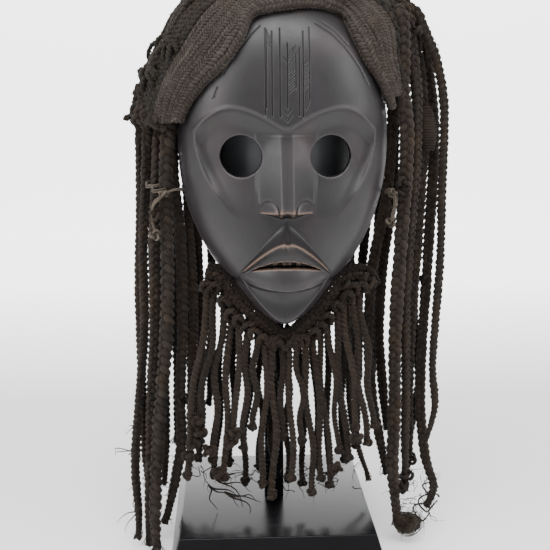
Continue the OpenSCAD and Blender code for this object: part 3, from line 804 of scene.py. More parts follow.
def frames(line, facing):
    """The directions along, beside and out of a line at each of its points."""
    along = np.gradient(line, axis=0)
    along /= np.linalg.norm(along, axis=1, keepdims=True)
    beside = np.cross(along, facing)
    beside /= np.maximum(np.linalg.norm(beside, axis=1, keepdims=True), 1e-9)
    return along, beside, np.cross(beside, along)


def travelled(line):
    """Length of a line up to each of its points."""
    return np.concatenate([[0], np.cumsum(np.linalg.norm(np.diff(line, axis=0), axis=1))])


def add_strand(bundle, line, radius, facing, sides=8, lock=1.0, axis=None, half=1.0):
    """One round strand, closed at both ends. Its crest is its distance from the cord's own axis, which the
    fibre colour turns into painted shade between the plies.
    """
    count = len(line)
    radius = np.broadcast_to(radius, (count,))
    along, beside, out = frames(line, facing)
    angle = np.arange(sides) * 2 * np.pi / sides
    ring = np.cos(angle)[None, :, None] * beside[:, None] + np.sin(angle)[None, :, None] * out[:, None]
    spots = line[:, None] + radius[:, None, None] * ring
    if axis is None:
        crest = np.full((count, sides), 0.75)
    else:
        from_axis = np.linalg.norm(spots - axis[:, None], axis=2) / np.reshape(half, (-1, 1))
        crest = np.clip((from_axis - 0.35) / 0.6, 0, 1)
    shift = fibre_chance.uniform(0, 3)
    thread = np.stack([radius[:, None] * np.cos(angle) + shift, radius[:, None] * np.sin(angle) + shift,
                       np.repeat(travelled(line)[:, None], sides, 1)], -1)
    first = bundle["count"] + np.arange((count - 1) * sides).reshape(-1, sides)
    turn = np.roll(first, -1, axis=1)
    bundle["quad"].append(np.stack([first, first + sides, turn + sides, turn], -1).reshape(-1, 4))
    start = bundle["count"]
    bundle["cap"].append(np.arange(start, start + sides))
    bundle["cap"].append(np.arange(start + count * sides - 1, start + (count - 1) * sides - 1, -1))
    bundle["spot"].append(spots.reshape(-1, 3))
    bundle["thread"].append(thread.reshape(-1, 3))
    bundle["crest"].append(crest.ravel())
    bundle["lock"].append(np.full(count * sides, lock))
    bundle["count"] += count * sides


def weave(name, bundle, material):
    """Turns a bundle of strands into one piece."""
    mesh = bpy.data.meshes.new(name)
    spots = np.concatenate(bundle["spot"])
    quads = np.concatenate(bundle["quad"])
    loops = np.concatenate([quads.ravel()] + bundle["cap"])
    totals = np.concatenate([np.full(len(quads), 4), [len(cap) for cap in bundle["cap"]]]).astype(np.int32)
    mesh.vertices.add(len(spots))
    mesh.vertices.foreach_set("co", spots.astype(np.float32).ravel())
    mesh.loops.add(len(loops))
    mesh.loops.foreach_set("vertex_index", loops.astype(np.int32))
    mesh.polygons.add(len(totals))
    mesh.polygons.foreach_set("loop_start", np.concatenate([[0], np.cumsum(totals)[:-1]]).astype(np.int32))
    mesh.polygons.foreach_set("loop_total", totals)
    mesh.polygons.foreach_set("use_smooth", np.ones(len(totals), bool))
    mesh.update(calc_edges=True)
    set_layer(mesh, "crest", "FLOAT", np.concatenate(bundle["crest"]))
    set_layer(mesh, "lock", "FLOAT", np.concatenate(bundle["lock"]))
    set_layer(mesh, "thread", "FLOAT_VECTOR", np.concatenate(bundle["thread"]))
    mesh.materials.append(material)
    piece = bpy.data.objects.new(name, mesh)
    bpy.context.scene.collection.objects.link(piece)
    return piece


def wander(count, step, amount):
    """A slow random swing of about the given amount."""
    knots = max(int(count / step), 2)
    return amount * np.interp(np.linspace(0, knots - 1, count), np.arange(knots),
                              fibre_chance.uniform(-1, 1, knots))


def twist(bundle, line, width, facing, pitch=1.5, plies=2, hand=1, sides=6, tone=1.0):
    """Plies twisted round each other into a cord."""
    width = np.broadcast_to(width, (len(line),)) * (1 + wander(len(line), 9, 0.07))
    along, beside, out = frames(line, facing)
    step = np.gradient(travelled(line))
    turn = hand * np.cumsum(2 * np.pi * step / (pitch * width)) + fibre_chance.uniform(0, 6)
    for ply in range(plies):
        angle = (turn + 2 * np.pi * ply / plies)[:, None]
        centre = line + 0.25 * width[:, None] * (beside * np.cos(angle) + out * np.sin(angle))
        add_strand(bundle, centre, 0.32 * width, facing, sides, tone * fibre_chance.uniform(0.82, 1.2),
                   line, width / 2)


def fuzz(bundle, line, width, count, reach=0.0020, thick=0.00013, run=0.004):
    """Loose fibre ends that stand a little away from a cord."""
    width = np.broadcast_to(width, (len(line),))
    along, beside, out = frames(line, (0.13, -0.98, 0.12))
    for spot in fibre_chance.integers(2, len(line) - 2, count):
        angle = fibre_chance.uniform(0, 2 * np.pi)
        away = beside[spot] * math.cos(angle) + out[spot] * math.sin(angle)
        way = along[spot] * fibre_chance.uniform(-1, 1) * run
        bow = np.clip(fibre_chance.normal(0, 0.0005, 3), -0.0008, 0.0008)
        t = np.linspace(0, 1, 5)[:, None]
        start = line[spot] + away * 0.42 * width[spot]
        lift = t ** 2 * away * reach * fibre_chance.uniform(0.2, 1)
        hair = start + t * way + lift + t * (1 - t) * 3 * bow
        add_strand(bundle, hair, thick * (1.1 - 0.7 * t[:, 0]), fibre_chance.normal(0, 1, 3), 3,
                   fibre_chance.uniform(0.8, 1.9))


pale_cap_fibre = fibre("pale_worn_cap_fibre", "#0f0d0c", "#38322e", "#372d24", "#4d4741", 0.4)
# Hand of the twist, angle back from the hairline and depth below the bands
edge_cords = ((1, -2.3, -1.3), (-1, 2.9, -1.3), (-1, -6.0, 1.6))
edge_cord_width = 0.0048
edge = new_bundle()
turns = np.linspace(-95, 88, 330)
middle = cap_point(turns, 0)
outward = middle - cap_point(turns, 0, 3)
# The roll under the cords is painted at a third of the fibre's tone, as shade in the gaps between them
add_strand(edge, middle, 0.0030, outward, 10, 0.3)
for hand, back, under in edge_cords:
    line = cap_point(turns, back + wander(330, 16, 0.4), under + wander(330, 12, 0.4))
    twist(edge, line, edge_cord_width, outward, 1.2, 2, hand, 8)
    fuzz(edge, line, edge_cord_width, 130)
edge_roll = weave("edge_chain_roll", edge, pale_cap_fibre)
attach(edge_roll, "mask")
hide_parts("cap_edge_roll")


# ---------------------------------------------------------------------------
# Cap bands: the first is 12 fine twisted cords sewn flat side by side, the
# others are three-strand plaits laid in rows over the net, looser to the right.

band_backs = (25, 47, 70, 93, 116)
band_turns = ((-95, 82), (-95, 82), (-95, 53), (-95, 52), (-95, 51))
band_half_angle = 10.6
fine_rows, fine_start, fine_gap, fine_width = 12, 7.2, 2.45, 0.0033
plait_width = 0.0074


def plait(bundle, line, width, facing, pitch=1.75, sides=8, tone=1.0, loose=0.1):
    """Three strands plaited along a line."""
    width = np.broadcast_to(width, (len(line),)) * (1 + wander(len(line), 14, 0.06))
    along, beside, out = frames(line, facing)
    step = np.gradient(travelled(line))
    turn = np.cumsum(2 * np.pi * step / (pitch * width)) + wander(len(line), 10, 2 * loose)
    turn += fibre_chance.uniform(0, 6)
    for strand in range(3):
        angle = (turn + 2 * np.pi * strand / 3)[:, None]
        centre = line + width[:, None] * (0.24 * beside * np.sin(angle) + 0.17 * out * np.sin(2 * angle))
        thick = 0.265 * width * (1 + wander(len(line), 6, loose))
        add_strand(bundle, centre, thick, facing, sides, tone * fibre_chance.uniform(0.8, 1.25),
                   line, width / 2)


for number, (back, (first, last)) in enumerate(zip(band_backs, band_turns), 1):
    band = new_bundle()
    if number == 1:
        turns = np.linspace(first, last, 300)
        for row in range(fine_rows):
            place_back = fine_start + fine_gap * row
            line = cap_point(turns, place_back + wander(300, 18, 0.7), -1.4 + wander(300, 14, 0.8))
            outward = line - cap_point(turns, place_back, 3)
            twist(band, line, fine_width, outward, 1.45, 2, 1 if row % 3 else -1, 6)
            fuzz(band, line, fine_width, 70, 0.0018, 0.00012)
        material = pale_cap_fibre
    else:
        turns = np.linspace(first, last, 250)
        for row in range(3):
            place_back = back - band_half_angle + band_half_angle * 2 * (row + 0.5) / 3
            line = cap_point(turns, place_back + wander(250, 14, 1.4), -1.0 + wander(250, 12, 1.3))
            outward = line - cap_point(turns, place_back, 3)
            pitch = np.interp(turns, (-95, 0, 30, 82), (1.5, 1.6, 2.6, 3.0))
            plait(band, line, plait_width, outward, pitch, 7, 1, 0.16)
            fuzz(band, line, plait_width, 90, 0.003, 0.00014)
        material = dark_cap_fibre
    piece = weave("cap_band_rows_%d" % number, band, material)
    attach(piece, "mask")
    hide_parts("cap_band_%d" % number)


# ---------------------------------------------------------------------------
# Cap lumps: loops of spare plait pushed through the bands on the left, two
# short stubs of cord that stick out beside them, and loose ends on the crown.

loop_count, loop_width, stub_width = 26, 0.0036, 0.0046
stub_ends = (((-96, -8, 331), (-110, -10, 329)), ((-95, -9, 336), (-104, -11, 337)))
lumps = new_bundle()
for _ in range(loop_count):
    turn = fibre_chance.uniform(-94, -58)
    back = fibre_chance.uniform(42, 112)
    centre = cap_point(turn, back, -3)
    outward = centre - cap_point(turn, back, 3)
    outward /= np.linalg.norm(outward)
    flat_way = np.cross(outward, fibre_chance.normal(0, 1, 3))
    flat_way /= np.linalg.norm(flat_way)
    other = np.cross(outward, flat_way)
    a = np.linspace(-2.3, 2.3, 22)[:, None]
    size = fibre_chance.uniform(0.0035, 0.0058)
    loop = centre + size * (1.3 * np.sin(a) * flat_way + 0.75 * np.cos(a) * outward
                            + 0.3 * np.sin(2 * a) * other)
    twist(lumps, loop, loop_width, other, 1.4, 2, 1, 6)
for start, end in stub_ends:
    t = np.linspace(0, 1, 16)[:, None]
    stub = (np.array(start) + t * (np.array(end) - start) + np.sin(t * 3) * (0, 0, 1.5)) * MM
    twist(lumps, stub, stub_width, (0, -1, 0), 1.3, 2, 1, 7)
    fuzz(lumps, stub, stub_width, 14, 0.002)
lump_piece = weave("cap_lumps", lumps, dark_cap_fibre)
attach(lump_piece, "mask")


# ---------------------------------------------------------------------------
# Hair: long three-strand plaits of dark plant fibre, 12 on the left and 13 on
# the right. Each is sewn to the cap at its top and hangs free to a frayed tip.

# Diameter, then the points that each plait follows, in millimetres
left_braids = [
    (8, [(-94, -10, 314), (-96, -9, 280), (-99, -9, 235), (-100, -10, 170), (-106, -12, 110), (-110, -14, 60),
         (-108, -20, 24), (-107, -34, 7)]),
    (9, [(-85, -13, 317), (-87, -15, 288), (-90, -15, 240), (-92, -16, 170), (-96, -15, 115), (-98, -16, 60),
         (-99, -26, 24), (-98, -44, 7)]),
    (11, [(-78, -26, 316), (-80, -26, 275), (-80, -26, 225), (-82, -27, 170), (-88, -29, 112), (-92, -32, 60),
          (-93, -44, 24), (-90, -62, 8)]),
    (9, [(-75, -9, 317), (-75, -11, 288), (-71, -14, 245), (-70, -19, 180), (-73, -21, 120), (-73, -23, 82),
         (-80, -24, 44), (-87, -26, 16)]),
    (8, [(-68, -2, 322), (-66, -2, 285), (-64, -7, 240), (-62, -10, 190), (-64, -11, 130), (-67, -10, 76)]),
    (8, [(-59, 2, 322), (-58, 1, 280), (-58, 0, 230), (-57, 0, 160), (-60, 2, 105), (-64, 6, 72)]),
    (7, [(-52, 14, 322), (-51, 14, 270), (-48, 14, 210), (-49, 14, 150), (-52, 16, 98)]),
    (8, [(-86, 0, 320), (-87, 0, 280), (-89, 0, 225), (-86, -2, 150), (-86, -4, 90), (-88, -6, 40)]),
    (8, [(-100, 2, 316), (-101, 2, 270), (-104, 1, 200), (-104, 0, 130), (-103, -2, 70), (-100, -6, 28)]),
    (9, [(-76, 6, 322), (-76, 7, 270), (-77, 7, 200), (-76, 7, 130), (-78, 6, 70)]),
    (9, [(-92, 16, 320), (-93, 16, 260), (-94, 16, 190), (-94, 15, 120), (-95, 14, 62)]),
    (8, [(-66, 20, 322), (-66, 20, 260), (-67, 20, 190), (-66, 20, 126), (-68, 20, 86)])]
right_braids = [
    (8, [(107, -14, 396), (119, -13, 370), (126, -12, 335), (127, -10, 275), (128, -9, 225), (126, -9, 170),
         (125, -10, 135), (127, -14, 104), (119, -21, 78)]),
    (11, [(93, -26, 343), (96, -26, 318), (96, -25, 286), (94, -24, 235), (92, -23, 170), (93, -24, 105),
          (92, -28, 60), (96, -36, 16)]),
    (9, [(101, -18, 366), (104, -18, 342), (105, -17, 300), (103, -15, 250), (101, -15, 190), (103, -16, 120),
         (103, -20, 74), (104, -24, 38)]),
    (9, [(104, -6, 386), (110, -6, 350), (113, -6, 312), (112, -5, 280), (111, -4, 235), (108, -4, 165),
         (108, -2, 115), (109, -4, 68), (105, -8, 30)]),
    (8, [(104, 7, 386), (109, 8, 345), (111, 8, 290), (111, 8, 230), (113, 8, 170), (118, 8, 130),
         (118, 8, 108), (112, 8, 72), (108, 6, 34)]),
    (9, [(91, 4, 342), (92, 4, 318), (92, 4, 270), (86, 4, 215), (84, 3, 165), (88, 2, 115), (92, 1, 80)]),
    (9, [(88, -8, 341), (88, -8, 312), (85, -7, 268), (76, -6, 215), (74, -6, 160), (78, -8, 110),
         (84, -8, 80), (91, -8, 46)]),
    (8, [(79, 10, 340), (77, 10, 300), (72, 8, 240), (68, 8, 180), (70, 9, 120)]),
    (8, [(70, 16, 336), (66, 16, 290), (62, 16, 230), (62, 16, 170), (64, 16, 104)]),
    (9, [(101, 17, 342), (103, 17, 312), (102, 16, 250), (102, 16, 180), (100, 15, 110), (102, 12, 56)]),
    (8, [(82, 21, 340), (84, 20, 290), (84, 20, 220), (82, 20, 150), (82, 20, 92)]),
    (9, [(115, 1, 372), (121, 1, 332), (122, 0, 290), (121, 1, 240), (120, 1, 200), (118, -1, 150),
         (118, -3, 100), (122, -10, 60), (128, -16, 38), (121, -24, 24)]),
    (6, [(66, 0, 318), (62, -2, 270), (58, -4, 215), (58, -6, 150), (62, -8, 90), (76, -16, 44)])]
# Where each plait leaves the cap: turn round the face and angle back
left_roots = [(-90, 66), (-90, 50), (-92, 34), (-88, 62), (-86, 58), (-80, 70), (-74, 92), (-90, 78),
              (-90, 90), (-88, 86), (-90, 110), (-84, 112)]
right_roots = [(46, 82), (48, 50), (46, 62), (44, 76), (40, 94), (50, 92), (52, 74), (46, 104), (40, 112),
               (44, 104), (38, 116), (46, 90), (54, 84)]
braid_step = 0.0013
thin_plait = 6


def smooth_route(points, spacing):
    """A smooth line through points in millimetres, as metres at an even spacing."""
    p = np.array(points, float) * MM
    t = np.linspace(0, 1, 13)[:-1, None]
    parts = []
    for i in range(len(p) - 1):
        a, b, c, d = p[max(i - 1, 0)], p[i], p[i + 1], p[min(i + 2, len(p) - 1)]
        parts.append(0.5 * (2 * b + t * (c - a) + t ** 2 * (2 * a - 5 * b + 4 * c - d)
                            + t ** 3 * (3 * b - a - 3 * c + d)))
    line = np.concatenate(parts + [p[-1:]])
    at = travelled(line)
    even = np.linspace(0, at[-1], max(int(at[-1] / spacing), 4) + 1)
    return np.stack([np.interp(even, at, line[:, k]) for k in range(3)], 1)


def braid_width(line, width):
    """A plait thins towards its tip."""
    share = travelled(line) / travelled(line)[-1]
    return width * (1.0 - 0.06 * share - 0.3 * np.clip((share - 0.88) / 0.12, 0, 1))


def fray(bundle, line, width, count):
    """Loose fibres that run out of a plait's last stretch."""
    along, beside, out = frames(line, (0.13, -0.98, 0.12))
    for _ in range(count):
        first = len(line) - 1 - fibre_chance.integers(10, 20)
        part = line[first:]
        t = np.linspace(0, 1, len(part))[:, None]
        angle = fibre_chance.uniform(0, 2 * np.pi)
        curl = t ** 1.4 * width * fibre_chance.uniform(0.3, 0.72)
        sway = 1.5 * np.sin(3 * t + angle)
        hair = part + curl * (beside[first:] * np.cos(angle + sway) + out[first:] * np.sin(angle + sway))
        add_strand(bundle, hair, 0.00042 * (1 - 0.55 * t[:, 0]), (0.2, -0.9, 0.1), 4,
                   fibre_chance.uniform(0.7, 1.3))


hair_fibre = fibre("dark_plaited_hair_fibre", "#070504", "#26201c", "#2f2316", "#322d28", 0.5)
root_bundle = new_bundle()
loose_root = None
for side, braids, roots in (("left", left_braids, left_roots), ("right", right_braids, right_roots)):
    for number, ((size, points), (turn, back)) in enumerate(zip(braids, roots), 1):
        width = size * MM
        line = smooth_route(points, braid_step)
        lean = fibre_chance.uniform(-0.5, 0.5) + np.linspace(0, fibre_chance.uniform(-0.9, 0.9), len(line))
        facing = np.stack([np.sin(lean), -np.cos(lean), np.zeros(len(line))], 1)
        braid = new_bundle()
        plait(braid, line, braid_width(line, width), facing, 1.75 if size > thin_plait else 1.6,
              tone=fibre_chance.uniform(0.82, 1.2))
        fuzz(braid, line, width, 80)
        fray(braid, line, width, 12)
        loose = side == "right" and number == 1
        piece = weave("hair_plait_%s_%02d" % (side, number), braid, hair_fibre)
        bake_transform(piece)
        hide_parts("hair_braid_%s_%02d" % (side, number))
        # The plait's beginning, sewn over the cap
        root_start = cap_point(turn, back, 2) / MM
        lifted = cap_point(turn + (4 if side == "right" else -2), back, -4) / MM
        first, second = np.array(points[0], float), np.array(points[1], float)
        down = (second - first) / np.linalg.norm(second - first)
        root_points = [root_start, lifted, first - 9 * down, first, first + 5 * down]
        root_line = smooth_route(root_points, braid_step)
        if loose:
            loose_root = new_bundle()
        bundle = loose_root if loose else root_bundle
        facing = (0.35 if side == "right" else -0.35, -0.93, 0.1)
        plait(bundle, root_line, width, facing, 1.75)
        fuzz(bundle, root_line, width, 30, 0.004)
for name, bundle in (("hair_roots", root_bundle), ("loose_plait_root", loose_root)):
    piece = weave(name, bundle, hair_fibre)
    if name == "hair_roots":
        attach(piece, "mask")
    else:
        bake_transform(piece)


# ---------------------------------------------------------------------------
# Ties: thin pale cords from a hole in each cheek's rim, wound round the nearest
# plaits and knotted, with a tail on the left that ends in a small knot.

# Each tie's points, then each winding's middle, width and depth, in millimetres
tie_routes = {
    "left": ([(-68, -24, 279), (-72, -31, 280), (-81, -34, 277), (-89, -31, 269), (-90, -29, 258),
              (-88, -33, 247)],
             [(-87, -19, 281, 13, 15), (-83, -23, 278, 12, 14)]),
    "right": ([(82, -20, 276), (84, -28, 278), (88, -32, 272), (86, -33, 263), (85, -31, 255)],
              [(95, -25, 277, 7.5, 7.5)])}


def knot(bundle, centre, size, tone=1.0, thick=0.3):
    """A small round knot, tied in a cord."""
    t = np.linspace(0, 2 * np.pi, 40)
    shape = np.stack([np.sin(t) + 2 * np.sin(2 * t), np.cos(t) - 2 * np.cos(2 * t),
                      -1.4 * np.sin(3 * t)], 1) / 3
    a, b, c = fibre_chance.uniform(0, 2 * np.pi, 3)
    turn = np.array([[np.cos(a), -np.sin(a), 0], [np.sin(a), np.cos(a), 0], [0, 0, 1]])
    tilt = np.array([[1, 0, 0], [0, np.cos(b), -np.sin(b)], [0, np.sin(b), np.cos(b)]])
    line = np.asarray(centre) + shape @ turn @ tilt * size
    add_strand(bundle, line, thick * size, (math.cos(c), 0.2, math.sin(c)), 7, tone,
               np.asarray(centre)[None], 1.3 * size)


tie_fibre = fibre("pale_tie_fibre", "#1c1712", "#585047", "#544734", "#696259", 0.4)
for side, (points, wraps) in tie_routes.items():
    tie = new_bundle()
    line = smooth_route(points, 0.0012)
    for thread in range(3):
        shifted = line + fibre_chance.normal(0, 0.0005, 3) + np.stack(
            [wander(len(line), 9, 0.0007) for _ in range(3)], 1)
        twist(tie, shifted, 0.0017, (0, -1, 0.2), 1.6, 2, 1, 6)
    for x, y, z, wide, deep in wraps:
        a = np.linspace(0, 2 * np.pi * 2.6, 90)
        round_them = np.stack([x + wide / 2 * np.cos(a) * 1.15, y + deep / 2 * np.sin(a) * 1.1,
                               z + 0.9 * a / (2 * np.pi) * 1.6 + 1.2 * np.sin(a + 1)], 1) * MM
        twist(tie, round_them, 0.0016, (0, 0.1, 1), 1.6, 2, 1, 6)
    knot(tie, line[-1], 0.0036)
    knot(tie, line[len(line) // 3], 0.003)
    fuzz(tie, line, 0.003, 30, 0.004, 0.00012, 0.008)
    piece = weave("side_tie_cords_" + side, tie, tie_fibre)
    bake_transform(piece)
    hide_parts("side_tie_" + side)


# ---------------------------------------------------------------------------
# Bindings and loose fibres in the hair: a bulge wound with cord, knots in some
# plaits, thin cord loops, wisps that have come free and one frizzy tip.

# Loose fibres stay between these places in x and above this one in z
wisp_left, wisp_right, wisp_floor = -0.125, 0.140, 0.001


def wisp(bundle, start, heading, length, curl, thick=0.0003, tone=1.0):
    """A fibre that wanders off and curls."""
    steps = 26
    way = np.array(heading, float) / np.linalg.norm(heading)
    drift = np.cumsum(fibre_chance.normal(0, curl, (steps, 3)), axis=0)
    phase = fibre_chance.uniform(0, 6)
    t = np.linspace(0, 1, steps)[:, None]
    roll = curl * 5 * np.concatenate([np.sin(7 * t + phase), np.cos(6 * t + phase), np.sin(5 * t)], 1) * t
    path = np.cumsum((way + drift + roll) / steps, axis=0) * length
    path *= min(1, 1.15 * length / np.linalg.norm(path, axis=1).max())
    spots = np.asarray(start) + path - path[0]
    spots[:, 0] = np.clip(spots[:, 0], wisp_left, wisp_right)
    spots[:, 2] = np.maximum(spots[:, 2], wisp_floor)
    add_strand(bundle, spots, thick * (1.05 - 0.75 * t[:, 0]), fibre_chance.normal(0, 1, 3), 4, tone)


def place_mm(x, y, z):
    """A place given in millimetres, in metres."""
    return np.array((x, y, z)) * MM


def bind(bundle, centre, half_height, radius, thick, tilt=0.0):
    """Cord wound round a plait in close turns, fattest in the middle."""
    turns = half_height * 2 / (thick * 0.92)
    a = np.linspace(0, 2 * np.pi * turns, int(turns * 20))
    t = a / a[-1] * 2 - 1
    r = radius * (1 - 0.42 * t ** 2)
    line = np.asarray(centre) + np.stack([r * np.cos(a) + tilt * t * half_height, r * np.sin(a),
                                          -t * half_height], 1)
    add_strand(bundle, line, thick / 2, (0.05, 0.1, 1), 6, 1.0)


bindings_right, bindings_left = new_bundle(), new_bundle()
bind(bindings_right, place_mm(113, -7, 322), 0.017, 0.0078, 0.0021, 0.12)
for x, y, z, size in ((101, -24, 392, 4), (93, -30, 283, 4.6), (95, -31, 276, 4), (119, 0, 205, 4.2),
                      (104, -24, 52, 5), (97, -31, 44, 5), (110, -12, 60, 4.5)):
    knot(bindings_right, place_mm(x, y, z), size * MM, 0.9)
for x, y, z, size in ((-87, -31, 262, 4.5), (-104, -8, 112, 4), (-70, -24, 118, 4), (-94, -30, 66, 5)):
    knot(bindings_left, place_mm(x, y, z), size * MM, 0.9)
for size, x, y, z in ((8, 124, -18, 24), (6, 118, -22, 18), (5, 126, -14, 34)):
    a = np.linspace(0.4, 2 * np.pi, 40)
    ring = np.stack([np.cos(a) + 0.3 * np.sin(2 * a), 0.5 * np.sin(a + size), np.sin(a)], 1)
    loop = place_mm(x, y, z) + ring * size * MM
    twist(bindings_right, loop, 0.0016, (0.1, -1, 0.1), 1.6, 2, 1, 6)
for _ in range(46):
    x, z = fibre_chance.uniform(94, 126), fibre_chance.uniform(16, 52)
    start = place_mm(x, fibre_chance.uniform(-32, -4), z)
    wisp(bindings_right, start, (fibre_chance.normal(0, 0.6), -0.1, -1),
         fibre_chance.uniform(0.008, 0.015), 0.3, 0.00034)
for _ in range(30):
    start = place_mm(fibre_chance.uniform(114, 121), -8, fibre_chance.choice((383, 336, 330, 322)))
    wisp(bindings_right, start, (1, -0.2, fibre_chance.normal(-0.5, 0.7)),
         fibre_chance.uniform(0.004, 0.010), 0.3, 0.0003)
for _ in range(50):
    x, z = fibre_chance.uniform(-110, -80), fibre_chance.uniform(16, 80)
    start = place_mm(x, fibre_chance.uniform(-34, -8), z)
    wisp(bindings_left, start, (fibre_chance.normal(-0.5, 0.8), 0, -0.8),
         fibre_chance.uniform(0.006, 0.013), 0.3, 0.00034)
stray_fibres = (((-111, -14, 72), (-1, 0, -0.5), 0.020), ((-107, -20, 24), (-1, 0, -0.4), 0.018),
                ((-107, -14, 96), (-0.8, 0, -0.6), 0.012))
for start, heading, length in stray_fibres:
    for _ in range(3):
        wisp(bindings_left, place_mm(*start), heading, length, 0.15, 0.0006)
for name, bundle, body in (("hair_bindings_right", bindings_right, "hair_right"),
                           ("hair_bindings_left", bindings_left, "hair_left")):
    piece = weave(name, bundle, hair_fibre)
    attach(piece, body)

frizz = new_bundle()
frizz_centre = place_mm(104, -34, 15)
for _ in range(150):
    direction = fibre_chance.normal(0, 1, 3)
    direction /= np.linalg.norm(direction)
    a = np.linspace(0, fibre_chance.uniform(2.5, 6), 30)[:, None]
    other = np.cross(direction, fibre_chance.normal(0, 1, 3))
    other /= np.linalg.norm(other)
    reach = fibre_chance.uniform(0.005, 0.0105)
    loop = frizz_centre + reach * (np.cos(a) * direction + np.sin(a) * other) * (1, 0.8, 0.85)
    loop += fibre_chance.normal(0, 0.0012, 3)
    add_strand(frizz, loop, 0.00024, np.cross(direction, other), 3, fibre_chance.uniform(0.7, 1.5))
knot(frizz, frizz_centre, 0.0075, 0.8, 0.42)
for _ in range(40):
    wisp(frizz, frizz_centre + fibre_chance.normal(0, 0.004, 3), (1, -0.2, fibre_chance.normal(0.3, 0.8)),
         fibre_chance.uniform(0.006, 0.014), 0.35, 0.00026)
frizz_fibre = fibre("frizzed_hair_fibre", "#100c09", "#342d25", "#392b1d", "#423c36", 0.5)
frizz_piece = weave("frizzy_tip", frizz, frizz_fibre)
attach(frizz_piece, "hair_right")


# ---------------------------------------------------------------------------
# Beard band: two flat plaits that follow the chin, a thin dark one against the
# wood and a lighter, wider one outside it, lashed to holes in the rim.

beard_route = [(-50, -27, 217), (-40, -30, 214), (-33, -31, 202), (-21, -35, 190), (-9, -36, 180),
               (6, -36, 173), (21, -36, 179), (33, -33, 190), (43, -31, 203), (53, -28, 213),
               (65, -26, 214), (71, -27, 205)]
dark_plait_width, light_plait_width = 0.0062, 0.0084
# Below the chin's tip the plaits hang this much lower than the tubes they stand for
tip_sag = 0.0035
lashing_routes = ([(-27, -26, 223), (-35, -26, 217), (-41, -30, 212)],
                  [(39, -26, 223), (47, -26, 217), (52, -29, 213)])
beard_fibre = fibre("mid_brown_twisted_beard_fibre", "#050402", "#221b16", "#271b11", "#2b2621", 0.55)
band = new_bundle()
line = smooth_route(beard_route, 0.0012)
along, beside, out = frames(line, (0, -1, 0))
low_middle = np.exp(-((line[:, 0] - 0.006) / 0.014) ** 2)[:, None]
sag = low_middle * (0, 0, -tip_sag)
nearer = 0.0064 - 0.0024 * low_middle
plait(band, line - beside * nearer + out * 0.0030 + sag, dark_plait_width, (0, -1, 0), 1.7, 8, 0.55)
plait(band, line + beside * 0.0002 + out * 0.0022 + sag, light_plait_width, (0, -1, 0), 1.6, 8, 1.05)
fuzz(band, line, 0.010, 200, 0.003)
for end in (line[:30], line[-34:]):
    for _ in range(3):
        spot = end[fibre_chance.integers(4, len(end) - 4)]
        knot(band, spot + fibre_chance.normal(0, 0.002, 3) + (0, -0.002, 0), 0.0058, 1.15)
band_piece = weave("beard_band_plaits", band, beard_fibre)
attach(band_piece, "mask")
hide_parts("beard_band")

lashing = new_bundle()
for points in lashing_routes:
    line = smooth_route(points, 0.001)
    twist(lashing, line, 0.003, (0, -1, 0.2), 1.5, 2, 1, 8)
lashing_piece = weave("beard_lashing_cords", lashing, tie_fibre)
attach(lashing_piece, "mask")
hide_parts("beard_lashings")


# ---------------------------------------------------------------------------
# Beard cords: two-ply twisted cords hitched over the band in a front and a
# back row. They hang free, a little wavy, and most end in a knot.

# x at the band, half way down and at the tip, and the tip's height
beard_front = [
    (-51, -60, -68, 62), (-45, -52, -58, 90), (-39, -45, -48, 74), (-33, -38, -40, 60), (-27, -31, -32, 94),
    (-21, -24, -25, 84), (-15, -16, -18, 100), (-9, -9, -11, 54), (-3, -2, -4, 44), (3, 5, 4, 92),
    (9, 12, 11, 58), (15, 18, 19, 88), (21, 25, 27, 46), (27, 31, 34, 58), (33, 37, 41, 52),
    (39, 43, 48, 80), (45, 49, 55, 74), (51, 55, 60, 98), (57, 62, 69, 86), (63, 67, 74, 100)]
beard_back = [
    (-47, -53, -60, 70), (-38, -43, -48, 56), (-29, -33, -36, 66), (-20, -22, -24, 50), (-11, -12, -13, 62),
    (-2, -2, -3, 40), (8, 9, 10, 52), (18, 20, 21, 48), (28, 30, 32, 62), (38, 40, 43, 54), (48, 51, 54, 66),
    (58, 60, 63, 78)]
beard_rows = (("front", beard_front, -3.5, -45), ("back", beard_back, 3.5, -31))
beard_groups = {("front", 0): "beard_cords_left", ("front", 7): "beard_cords_middle",
                ("front", 13): "beard_cords_right", ("back", 0): "beard_cords_back"}
beard_width = 5
# How far the cords start below the band's middle, where the band is level
below_band = 9.6
hitch_width = 0.0042
band_path = np.array(beard_route, float)


def band_height(x):
    """Height of the band's middle at x."""
    return float(np.interp(x, band_path[:, 0], band_path[:, 2]))


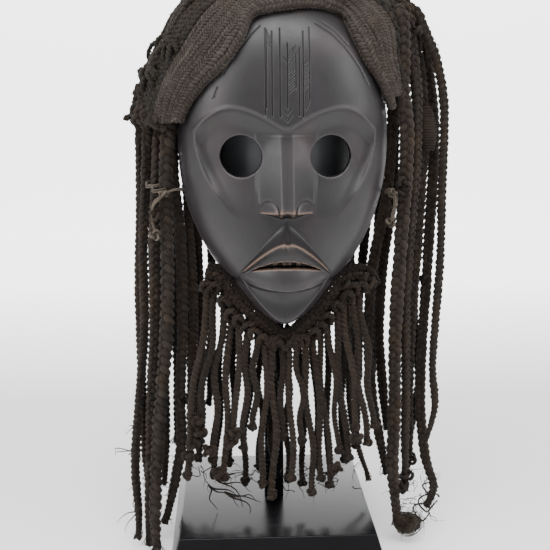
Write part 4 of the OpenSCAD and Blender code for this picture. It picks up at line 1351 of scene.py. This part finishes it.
beard_lines = []
for row, cords, offset, tip_y in beard_rows:
    for number, (x0, x1, x2, tip_z) in enumerate(cords):
        y = float(np.interp(x0, band_path[:, 0], band_path[:, 1])) + offset
        slope = (band_height(x0 + 2) - band_height(x0 - 2)) / 4
        z = band_height(x0) - below_band * math.hypot(1, slope)
        route = [(x0, y, z), (x0 * 0.6 + x1 * 0.4, (y + tip_y) / 2, z * 0.75 + tip_z * 0.25),
                 (x1, tip_y, (z + tip_z) / 2), (x2, tip_y, tip_z)]
        beard_lines.append((row, number, route, band_height(x0)))
for index, (row, number, route, top_z) in enumerate(beard_lines):
    x, y, z = route[0]
    hitch = [(x + 1.5, y + 7, top_z + 2), (x + 0.8, y + 4, top_z - 3.5)]
    line = smooth_route(hitch + route, 0.0013)
    share = travelled(line) / travelled(line)[-1]
    free = np.sin(np.pi * np.clip(share * 1.1 - 0.1, 0, 1))
    for axis, amount in ((0, 0.0024), (1, 0.0012)):
        line[:, axis] += amount * free * np.sin(2 * np.pi * share * fibre_chance.uniform(0.9, 2.1)
                                                + fibre_chance.uniform(0, 6))
    cord = new_bundle()
    # The back row is painted a fifth darker, as shade behind the front row
    tone = fibre_chance.uniform(0.75, 1.2) * (0.8 if row == "back" else 1)
    width = beard_width * MM * fibre_chance.uniform(1.0, 1.16)
    twist(cord, line, width * (1 - 0.12 * share), (0.1, -1, 0.1), 1.35, 2, 1, 7, tone)
    fuzz(cord, line, width, 30, 0.0018)
    knot(cord, line[-3], 0.0031, tone * 1.05, 0.44)
    fray(cord, line, width * 0.8, 5)
    piece = weave("beard_cord_%s_%02d" % (row, number + 1), cord, beard_fibre)
    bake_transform(piece)
    group = max(start for name, start in beard_groups if name == row and start <= number)
    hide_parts(beard_groups[row, group])

# The loop of each front cord over the band
hitches = new_bundle()
for row, _, route, _ in beard_lines:
    if row == "back":
        continue
    x, y, z = route[0]
    a = np.linspace(-1.9, 1.9, 18)[:, None]
    size = fibre_chance.uniform(4.6, 6.0)
    centre = np.array((x + fibre_chance.uniform(-2, 2), y - 2.5, z - 0.5))
    tilt = fibre_chance.uniform(-0.5, 0.5)
    loop = centre + size * np.concatenate([np.sin(a) * 0.7 + tilt * np.cos(a), -0.55 * np.cos(a) ** 2 - 0.1,
                                           np.cos(a) * 1.1], 1)
    twist(hitches, loop * MM, hitch_width, (0, -1, 0), 1.4, 2, 1, 6, fibre_chance.uniform(0.8, 1.15))
hitch_piece = weave("beard_hitches", hitches, beard_fibre)
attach(hitch_piece, "mask")

# Knotted curls and loose ends, most of them at the left
curls = new_bundle()
for x, z, size in ((-63, 92, 4.4), (-57, 101, 4), (-51, 86, 4.4), (-59, 109, 3.8), (-66, 82, 4),
                   (-35, 93, 4.6), (-31, 99, 4), (-45, 68, 4), (60, 93, 4.4), (45, 70, 4)):
    knot(curls, place_mm(x, -49, z), size * MM, fibre_chance.uniform(0.9, 1.2), 0.46)
for _ in range(60):
    x = fibre_chance.uniform(-66, 62)
    wisp(curls, place_mm(x, fibre_chance.uniform(-47, -34), fibre_chance.uniform(52, 72)),
         (fibre_chance.normal(0, 0.8), -0.1, -0.9), fibre_chance.uniform(0.007, 0.014), 0.3, 0.00045, 0.7)
for start in ((-52, -44, 56), (-46, -44, 60), (-40, -44, 50)):
    for _ in range(3):
        wisp(curls, place_mm(*start), (0.9, -0.2, -0.7), 0.026, 0.16, 0.0008, 0.6)
curl_piece = weave("beard_loose_ends", curls, beard_fibre)
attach(curl_piece, "beard")


# --------------------------------------------------------------------------- Outer bounds of the finished model, backdrop left out.
# Sizes of the plain and of the finished model, side by side.

low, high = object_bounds()
